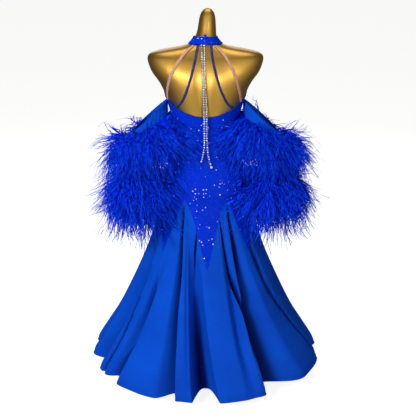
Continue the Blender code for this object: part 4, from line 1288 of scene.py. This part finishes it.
# Barbs are painted darker towards their roots, a painted shade of the dense mass of plumes, and lighter
# towards their tips.
feather_along = feather_tree.nodes.new("ShaderNodeAttribute")
feather_along.attribute_name = "along"
feather_cloud = texture(feather_tree, "Noise", Scale=70.0, Detail=2.0)
feather_part = blended(feather_tree, feather_cloud.outputs["Fac"], 1.9, -0.60)
feather_sum = blended(feather_tree, feather_along.outputs["Fac"], 0.35, feather_part)
tinted(
    feather_tree, feather_shader, feather_sum,
    [(0.16, FEATHER_ROOT_SHADE), (0.48, FEATHER_MIDDLE), (0.85, FEATHER_TIP)])

plume_stock = bpy.data.collections.new("plume_stock")
chance = random.Random(FEATHER_SEED)
for kind in range(PLUME_KINDS):
    plume = bmesh.new()
    shade = plume.verts.layers.float.new("along")
    for _ in range(BARBS):
        heading = chance.uniform(0.0, 2 * math.pi)
        splay = math.radians(chance.uniform(3.0, 24.0))
        curl = chance.uniform(-0.045, 0.060)
        wave = chance.uniform(0.0, 2 * math.pi)
        length = PLUME_LENGTH * chance.uniform(0.50, 1.0)
        side = Vector((math.cos(heading), math.sin(heading), 0.0))
        cross = Vector((-side.y, side.x, 0.0))
        ring = None
        for step in range(BARB_STEPS):
            share = step / (BARB_STEPS - 1)
            middle = Vector((0.0, 0.0, length * share * math.cos(splay)))
            middle += side * (length * share * math.sin(splay) + curl * share**2)
            middle += cross * 0.011 * math.sin(wave + 6.0 * share) * share
            thick = BARB_RADIUS * (
                0.75 + 0.5 * math.sin(math.pi * min(1.0, share * 1.3))) * (1 - 0.65 * share)
            corners = []
            for corner in range(3):
                turn = 2 * math.pi * corner / 3 + heading
                vert = plume.verts.new(middle + Vector((math.cos(turn), math.sin(turn), 0.0)) * thick)
                vert[shade] = share
                corners.append(vert)
            if ring:
                for corner in range(3):
                    n = (corner + 1) % 3
                    plume.faces.new((ring[corner], ring[n], corners[n], corners[corner]))
            else:
                plume.faces.new(list(reversed(corners)))
            ring = corners
        plume.faces.new(ring)
    plume_mesh = meshed(f"plume_{kind}", plume)
    plume_stock.objects.link(bpy.data.objects.new(f"plume_{kind}", plume_mesh))

guard_rows = []
guard_turns = [360.0 * c / TAPE_COLUMNS for c in range(TAPE_COLUMNS)]
for k in range(GUARD_ROWS + 1):
    height = GUARD_LOW + (GUARD_HIGH - GUARD_LOW) * k / GUARD_ROWS
    guard_rows.append([around(turn, gown_radius(turn, height), height) for turn in guard_turns])
guard = bpy.data.objects.new("body_guard", sheet_mesh("body_guard", guard_rows, closed=True))
bpy.context.scene.collection.objects.link(guard)

fringe_tree, fringe_in, fringe_out = node_group(
    "ostrich_fringe",
    [
        ("Plumes", "Collection"), ("Body", "Object"), ("Density", "Float"), ("Lowest Rise", "Float"),
        ("Highest Rise", "Float"), ("Shortest", "Float"), ("Longest", "Float"), ("Inward", "Vector"),
        ("Inward Share", "Float"), ("Outer Share", "Float"), ("Droop", "Float"),
        ("Clearance", "Float"), ("Seed", "Int"), ("Finish", "Material")])


def chosen(low, high, seed):
    """A random number of the fringe's tree."""
    node = add(fringe_tree, "FunctionNodeRandomValue", data_type="FLOAT", Seed=seed)
    floats = [socket for socket in node.inputs if socket.type == "VALUE" and socket.name in ("Min", "Max")]
    for socket, value in zip(floats, (low, high)):
        feed(socket, value)
    return next(socket for socket in node.outputs if socket.type == "VALUE")


def feed(socket, value):
    """Gives a socket of the fringe's tree its value, or the socket that it reads."""
    if isinstance(value, (int, float, tuple)):
        socket.default_value = value
    else:
        fringe_tree.links.new(value, socket)


def number(operation, *values):
    """A sum on numbers in the fringe's tree."""
    node = add(fringe_tree, "ShaderNodeMath", operation=operation)
    for k, value in enumerate(values):
        feed(node.inputs[k], value)
    return node.outputs["Value"]


def vector(operation, *values, scale=None):
    """A sum on vectors in the fringe's tree."""
    node = add(fringe_tree, "ShaderNodeVectorMath", operation=operation)
    for k, value in enumerate(values):
        feed(node.inputs[k], value)
    if scale is not None:
        feed(node.inputs["Scale"], scale)
    return node.outputs["Value" if operation == "DOT_PRODUCT" else "Vector"]


fringe_points = add(
    fringe_tree, "GeometryNodeDistributePointsOnFaces",
    [
        ("Mesh", fringe_in.outputs["Geometry"]), ("Density", fringe_in.outputs["Density"]),
        ("Seed", fringe_in.outputs["Seed"])],
    distribute_method="RANDOM")
flat_out = vector("MULTIPLY", fringe_points.outputs["Normal"], (1.0, 1.0, 0.0))
flat_out = vector("NORMALIZE", flat_out)
rise = chosen(fringe_in.outputs["Lowest Rise"], fringe_in.outputs["Highest Rise"], 3)
rise = number("RADIANS", rise)
level = vector("SCALE", flat_out, scale=number("COSINE", rise))
lift = add(fringe_tree, "ShaderNodeCombineXYZ", [("Z", number("SINE", rise))])
heading = vector("ADD", level, lift.outputs["Vector"])
scatter = add(fringe_tree, "FunctionNodeRandomValue", data_type="FLOAT_VECTOR")
for socket in scatter.inputs:
    if socket.type == "VECTOR":
        socket.default_value = [-s for s in STRAY] if socket.name == "Min" else STRAY
heading = vector("ADD", heading, scatter.outputs[0])
aligned = add(fringe_tree, "FunctionNodeAlignRotationToVector", [("Vector", heading)], axis="Z")
spin = add(fringe_tree, "ShaderNodeCombineXYZ", [("Z", chosen(-3.14, 3.14, 5))])
turned = add(
    fringe_tree, "FunctionNodeRotateRotation",
    [("Rotation", aligned.outputs["Rotation"]), ("Rotate By", spin.outputs["Vector"])],
    rotation_space="LOCAL")
stock = add(
    fringe_tree, "GeometryNodeCollectionInfo", [("Collection", fringe_in.outputs["Plumes"])],
    Separate_Children=True, Reset_Children=True)
size = chosen(fringe_in.outputs["Shortest"], fringe_in.outputs["Longest"], 9)
facing = vector("DOT_PRODUCT", flat_out, fringe_in.outputs["Inward"])
for share, sign in (("Inward Share", 1.0), ("Outer Share", -1.0)):
    met = number("MAXIMUM", number("MULTIPLY", facing, sign), 0.0)
    shorter = number("MULTIPLY", met, number("SUBTRACT", 1.0, fringe_in.outputs[share]))
    size = number("MULTIPLY", size, number("SUBTRACT", 1.0, shorter))
planted = add(fringe_tree, "GeometryNodeInstanceOnPoints",
              [("Points", fringe_points.outputs["Points"]), ("Instance", stock.outputs["Instances"]),
               ("Rotation", turned.outputs["Rotation"]), ("Scale", size)], Pick_Instance=True)
real = add(fringe_tree, "GeometryNodeRealizeInstances", [("Geometry", planted.outputs["Instances"])])
along = add(fringe_tree, "GeometryNodeInputNamedAttribute", data_type="FLOAT", Name="along")
along = next(s for s in along.outputs if s.name == "Attribute" and s.type == "VALUE")
bent = number("POWER", along, DROOP_BEND)
sag = number("MULTIPLY", number("MULTIPLY", bent, fringe_in.outputs["Droop"]), -PLUME_LENGTH)
sag = add(fringe_tree, "ShaderNodeCombineXYZ", [("Z", sag)])
where = add(fringe_tree, "GeometryNodeInputPosition")
breeze = add(
    fringe_tree, "ShaderNodeTexNoise", [("Vector", where.outputs["Position"])], Scale=15.0, Detail=2.0)
breeze = vector("SUBTRACT", breeze.outputs["Color"], (0.5, 0.5, 0.5))
breeze = vector("SCALE", breeze, scale=number("MULTIPLY", along, BREEZE))
drift = vector("ADD", sag.outputs["Vector"], breeze)
hung = add(
    fringe_tree, "GeometryNodeSetPosition",
    [("Geometry", real.outputs["Geometry"]), ("Offset", drift)])
body_info = add(fringe_tree, "GeometryNodeObjectInfo", [("Object", fringe_in.outputs["Body"])])
near = add(
    fringe_tree, "GeometryNodeProximity", [(0, body_info.outputs["Geometry"])], target_element="FACES")
body_normal = add(fringe_tree, "GeometryNodeInputNormal")
sampled = add(
    fringe_tree, "GeometryNodeSampleNearestSurface", [(0, body_info.outputs["Geometry"])],
    data_type="FLOAT_VECTOR")
value_in = next(s for s in sampled.inputs if s.name == "Value" and s.type == "VECTOR")
fringe_tree.links.new(body_normal.outputs["Normal"], value_in)
normal_out = next(s for s in sampled.outputs if s.type == "VECTOR")
where = add(fringe_tree, "GeometryNodeInputPosition")
off = vector("SUBTRACT", where.outputs["Position"], near.outputs["Position"])
height_off = vector("DOT_PRODUCT", off, normal_out)
clear_of = number("MULTIPLY", fringe_in.outputs["Clearance"], number("ADD", along, 0.25))
lacking = number("SUBTRACT", clear_of, height_off)
lacking = number("MAXIMUM", lacking, 0.0)
push = vector("SCALE", normal_out, scale=lacking)
pushed = add(
    fringe_tree, "GeometryNodeSetPosition", [("Geometry", hung.outputs["Geometry"]), ("Offset", push)])
dress(fringe_tree, fringe_in, fringe_out, pushed.outputs["Geometry"])

for label, side in (("left", -1), ("right", 1)):
    for kind, facts in FRINGES.items():
        tape_rows = []
        for k in range(4):
            along_sleeve = facts["foot"] + (facts["top"] - facts["foot"]) * k / 3
            turns = [turn * side for turn in guard_turns]
            row = []
            for turn in turns:
                point = sleeve_point(side, along_sleeve, turn)
                centre = Vector((smooth_read(sleeve_keyed, along_sleeve)[0] * side, 0.0, point.z))
                row.append(point + (point - centre).normalized() * TAPE_OFF)
            tape_rows.append(row)
        tape = put(
            f"fringe_tape_{kind}_{label}", sheet_mesh("tape", tape_rows, closed=True), feather)
        tape_wall = tape.modifiers.new("wall", "SOLIDIFY")
        tape_wall.thickness = WALL
        tape_wall.offset = -1.0
        root_rows = []
        for k in range(7):
            along_sleeve = facts["top"] + (facts["roots"] - facts["top"]) * (1 - k / 6)
            root_rows.append([sleeve_point(side, along_sleeve, turn) for turn in turns])
        rooted = sum((low[(c + 1) % TAPE_COLUMNS] - low[c]).length * (high[c] - low[c]).length
                     for low, high in zip(root_rows, root_rows[1:]) for c in range(TAPE_COLUMNS))
        reach = facts["length"] / PLUME_LENGTH
        grown(
            f"ostrich_fringe_{kind}_{label}", sheet_mesh("fringe", root_rows, closed=True),
            fringe_tree, feather,
            {
                "Plumes": plume_stock, "Body": guard, "Density": facts["plumes"] / rooted,
                "Lowest Rise": facts["rises"][0], "Highest Rise": facts["rises"][1],
                "Shortest": reach * 0.50, "Longest": reach, "Inward": (-float(side), 0.0, 0.0),
                "Inward Share": facts["inner"], "Outer Share": facts["outer"],
                "Droop": facts["droop"], "Clearance": FRINGE_CLEARANCE,
                "Seed": FEATHER_SEED + side + (3 if kind == "upper" else 0), "Finish": feather},
            [f"feathers_{kind}_{label}"])
bpy.data.objects.remove(guard)

# Two skin-toned elastics and two elastics set with dark blue stones hold the bare back. They run
# from the neckband over the form's back and are sewn behind the neckline.
STRAP_OFF_BACK = 0.0010
NUDE_ELASTIC = (0.0055, 0.0011)
STONE_ELASTIC = (0.0046, 0.0011)
STONE_RADIUS = 0.0044
STONE_PITCH = 0.0092
# Routes of the straps from the neckband down: place across, height
NUDE_LEFT = (
    (-0.043, 1.3295), (-0.073, 1.306), (-0.104, 1.266), (-0.127, 1.220), (-0.139, 1.172),
    (-0.1395, 1.124))
NUDE_RIGHT = (
    (0.036, 1.3295), (0.066, 1.302), (0.092, 1.262), (0.112, 1.214), (0.126, 1.162), (0.132, 1.116))
BLUE_LEFT = (
    (-0.027, 1.3295), (-0.034, 1.295), (-0.046, 1.245), (-0.064, 1.185), (-0.086, 1.132),
    (-0.110, 1.096))
BLUE_RIGHT = (
    (0.021, 1.3295), (0.026, 1.290), (0.038, 1.236), (0.056, 1.178), (0.082, 1.124), (0.106, 1.094))
NUDE = (0.56, 0.30, 0.19, 1.0)
STONE_BLUE = (0.010, 0.022, 0.20, 1.0)
NAVY = (0.004, 0.008, 0.085, 1.0)


def smooth_path(points, count):
    """Points on a smooth curve through a route's own points, evenly spaced in its length."""
    keyed = [(0.0,) + tuple(points[0])]
    for before, after in zip(points, points[1:]):
        keyed.append((keyed[-1][0] + (Vector(after) - Vector(before)).length,) + tuple(after))
    return [Vector(smooth_read(keyed, keyed[-1][0] * k / (count - 1))) for k in range(count)]


def surface_frame(radius_of, x, height):
    """A point of a back at that x and height, and the way square out of it."""
    angle = 0.0
    for _ in range(40):
        reach = max(abs(x) * 1.0001, radius_of(angle, height))
        angle = (angle + math.degrees(math.asin(x / reach))) / 2
    here = around(angle, radius_of(angle, height), height)
    beside = around(angle + 0.5, radius_of(angle + 0.5, height), height) - here
    above = around(angle, radius_of(angle, height + 0.002), height + 0.002) - here
    return here, beside.cross(above).normalized()


def strap_route(route, off):
    """Points of a strap off the form's back, from the neckband to the neckline, and their ways out."""
    foot_x, foot_height = route[-1]
    for _ in range(12):
        foot = surface_frame(form_radius, foot_x, foot_height)[0]
        foot_height = back_neckline(math.degrees(math.atan2(foot.x, -foot.y))) - 0.001
    passed = list(route[:-1]) + [(foot_x, foot_height)]
    keyed = [(0.0,) + passed[0]]
    for before, after in zip(passed, passed[1:]):
        keyed.append((keyed[-1][0] + math.dist(before, after),) + after)
    points, outs = [], []
    for k in range(61):
        x, height = smooth_read(keyed, keyed[-1][0] * k / 60)
        here, out = surface_frame(form_radius, x, height)
        points.append(here + out * off)
        outs.append(out)
    return points, outs


nude, nude_tree, nude_shader = principled(
    "nude_elastic", NUDE, 0.55, 0.0, Subsurface_Weight=0.08, Sheen_Weight=0.2)
# The ribs are painted darker where their bump is low, a painted shade in their grooves.
nude_ribs = texture(nude_tree, "Wave", Scale=420.0, Distortion=0.6)
tinted(nude_tree, nude_shader, nude_ribs.outputs["Fac"], [(0.2, (0.46, 0.24, 0.15, 1.0)), (0.8, NUDE)])
roughened(nude_tree, nude_shader, nude_ribs.outputs["Fac"], 0.35, 0.0003)
# Blue stones with painted flashes: darker and paler blue shades are painted on their facets.
blue_stone = painted_facet_flashes(
    "blue_stone", STONE_BLUE, 0.10, 0.35, 700.0,
    [(0.0, (0.002, 0.005, 0.06, 1.0)), (0.7, STONE_BLUE), (1.0, (0.06, 0.12, 0.60, 1.0))],
    Coat_Weight=0.25, Coat_Roughness=0.05)
navy, navy_tree, navy_shader = principled("navy_elastic", NAVY, 0.7, 0.0, Specular_IOR_Level=0.2)
navy_ribs = texture(navy_tree, "Wave", Scale=420.0, Distortion=0.6)
roughened(navy_tree, navy_shader, navy_ribs.outputs["Fac"], 0.35, 0.0003)

for label, route in (("left", NUDE_LEFT), ("right", NUDE_RIGHT)):
    points, outs = strap_route(route, STRAP_OFF_BACK + NUDE_ELASTIC[1])
    swept(
        f"nude_elastic_{label}", points, NUDE_ELASTIC[0], NUDE_ELASTIC[1], nude,
        ["strap_nude_" + label], outs)
strap_stone = cut_stone("strap_stone_shape", STONE_RADIUS, 0.0017, 8, 0.0)
for label, route in (("left", BLUE_LEFT), ("right", BLUE_RIGHT)):
    points, outs = strap_route(route, STRAP_OFF_BACK + STONE_ELASTIC[1])
    swept(
        f"stone_elastic_{label}", points, STONE_ELASTIC[0], STONE_ELASTIC[1], navy,
        ["strap_stones_" + label], outs)
    count = round(sum((b - a).length for a, b in zip(points, points[1:])) / STONE_PITCH)
    fine_points = smooth_path([tuple(p) for p in points], 20 * count + 1)
    fine_outs = smooth_path([tuple(o) for o in outs], 20 * count + 1)
    tops = [p + o * STONE_ELASTIC[1] * 0.9 for p, o in zip(fine_points[10::20], fine_outs[10::20])]
    grown(
        f"strap_stones_{label}_set", line_mesh("stones", tops, fine_outs[10::20]), row_tree,
        blue_stone, {"Piece": strap_stone, "Finish": blue_stone})

# Two free strands of clear stones hang from the neckband down the bare back. Each stone sits in
# a silver cup, the cups are linked end to end, and the longer strand ends in a set drop.
CHAIN_DIAMETER = 0.0065
CHAIN_OFF_BACK = 0.0018
CHAIN_OFF_GOWN = 0.0036
CHAIN_PITCH = 0.0090
CUP_RADIUS = 0.0038
DROP_RADIUS = 0.0047
# Routes of the strands, in the same columns
CHAIN_LEFT = ((-0.0135, 1.3295), (-0.0125, 1.3050), (-0.0115, 1.2700), (-0.0090, 1.2100), (-0.0055, 1.1200),
              (-0.0040, 1.0500), (-0.0040, 0.9800), (-0.0070, 0.9450), (-0.0150, 0.9120))
CHAIN_RIGHT = ((-0.0045, 1.3295), (-0.0035, 1.3050), (-0.0025, 1.2700), (0.0000, 1.2100), (0.0035, 1.1200),
               (0.0050, 1.0500), (0.0060, 0.9800), (0.0100, 0.9350), (0.0210, 0.8950))
SILVER = (0.42, 0.43, 0.46, 1.0)
# Shades of the clear stones' painted flashes, from dark to light.
CLEAR_DARK = (0.10, 0.11, 0.14, 1.0)
CLEAR_MIDDLE = (0.50, 0.53, 0.58, 1.0)
CLEAR_LIGHT = (0.93, 0.95, 0.98, 1.0)
CAD_EASE = 0.0052
cad_gown = cloth_sections(CAD_EASE)

silver, silver_tree, silver_shader = principled("silver_cup", SILVER, 0.18, 1.0)
silver_wear = texture(silver_tree, "Noise", Scale=400.0, Detail=3.0)
tinted(
    silver_tree, silver_shader, silver_wear.outputs["Fac"],
    [(0.3, (0.22, 0.22, 0.24, 1.0)), (0.6, SILVER)])
# Clear stones with painted flashes, from dark to light shades on their facets.
clear = painted_facet_flashes(
    "clear_stone", CLEAR_LIGHT, 0.08, 0.1, 230.0,
    [(0.0, CLEAR_DARK), (0.40, CLEAR_MIDDLE), (0.8, CLEAR_LIGHT)],
    Coat_Weight=1.0, Coat_Roughness=0.03)


def chain_route(route):
    """The strand's centreline: it lies on the back, then hangs, and rests on the gown's back."""
    points, furthest = [], 0.0
    for x, height in route:
        bare = height > back_neckline(0.0) + 0.02
        skin = form_radius if bare else (lambda angle, z: outline_radius(angle, *smooth_read(cad_gown, z)))
        here, out = surface_frame(skin, x, height)
        point = here + out * (CHAIN_DIAMETER / 2 + (CHAIN_OFF_BACK if bare else CHAIN_OFF_GOWN))
        furthest = min(furthest, point.y)
        points.append(Vector((x, furthest, point.z if height > 1.25 else height)))
    return smooth_path(points, 24)


def cup_shape(name):
    """A silver cup with a rim and the short link to the next cup."""
    sides = 10
    points, faces = [], []
    for radius, level in (
            (0.0, -0.0017), (CUP_RADIUS * 0.8, -0.0017), (CUP_RADIUS, 0.0002),
            (CUP_RADIUS * 0.86, 0.0004), (0.0, -0.0004)):
        for k in range(sides):
            turn = 2 * math.pi * k / sides
            points.append((radius * math.cos(turn), radius * math.sin(turn), level))
    for ring in range(4):
        for k in range(sides):
            n = (k + 1) % sides
            faces.append(
                (ring * sides + k, ring * sides + n, (ring + 1) * sides + n, (ring + 1) * sides + k))
    made = bmesh.new()
    verts = [made.verts.new(p) for p in points]
    for face in faces:
        made.faces.new([verts[k] for k in face])
    bmesh.ops.remove_doubles(made, verts=made.verts, dist=0.00001)
    bmesh.ops.create_cube(made, size=1.0)
    link = [v for v in made.verts if abs(abs(v.co.x) - 0.5) < 1e-6 and abs(abs(v.co.y) - 0.5) < 1e-6]
    for vert in link:
        vert.co = Vector(
            (CHAIN_PITCH / 2 + vert.co.x * 0.0026, vert.co.y * 0.0011, -0.0008 + vert.co.z * 0.0008))
    bmesh.ops.recalc_face_normals(made, faces=made.faces)
    mesh = meshed(name, made)
    return bpy.data.objects.new(name, mesh)


chain_cup = cup_shape("cup_shape")
chain_stone = cut_stone("chain_stone_shape", CUP_RADIUS * 0.84, 0.0022, 8, 0.0)
chain_ends = {}
for label, route in (("left", CHAIN_LEFT), ("right", CHAIN_RIGHT)):
    path = chain_route(route)
    length = sum((b - a).length for a, b in zip(path, path[1:]))
    spots = walked(path, CHAIN_PITCH)
    outs = [Vector((0.0, -1.0, 0.0)) for _ in spots]
    stones = grown(
        f"chain_{label}_stones", line_mesh("stones", spots, outs), row_tree, clear,
        {"Piece": chain_stone, "Finish": clear})
    cups = grown(f"chain_{label}_cups", line_mesh("cups", spots, outs), row_tree, silver,
                 {"Piece": chain_cup, "Finish": silver}, ["chain_" + label])
    chain_ends[label] = (path, length, stones, cups)

drop_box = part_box("chain_pendant")
drop_middle = (Vector(drop_box[0]) + Vector(drop_box[1])) / 2
drop_mesh = ball("chain_drop", DROP_RADIUS, 14, 9, drop_middle)
drop_piece = put("chain_drop", drop_mesh, crystal, ["chain_pendant"])
drop_mesh.shade_flat()

for label, far_end, fitted in (("left", "bare", []), ("right", "fitting", [drop_piece])):
    path, length, stones, cups = chain_ends[label]
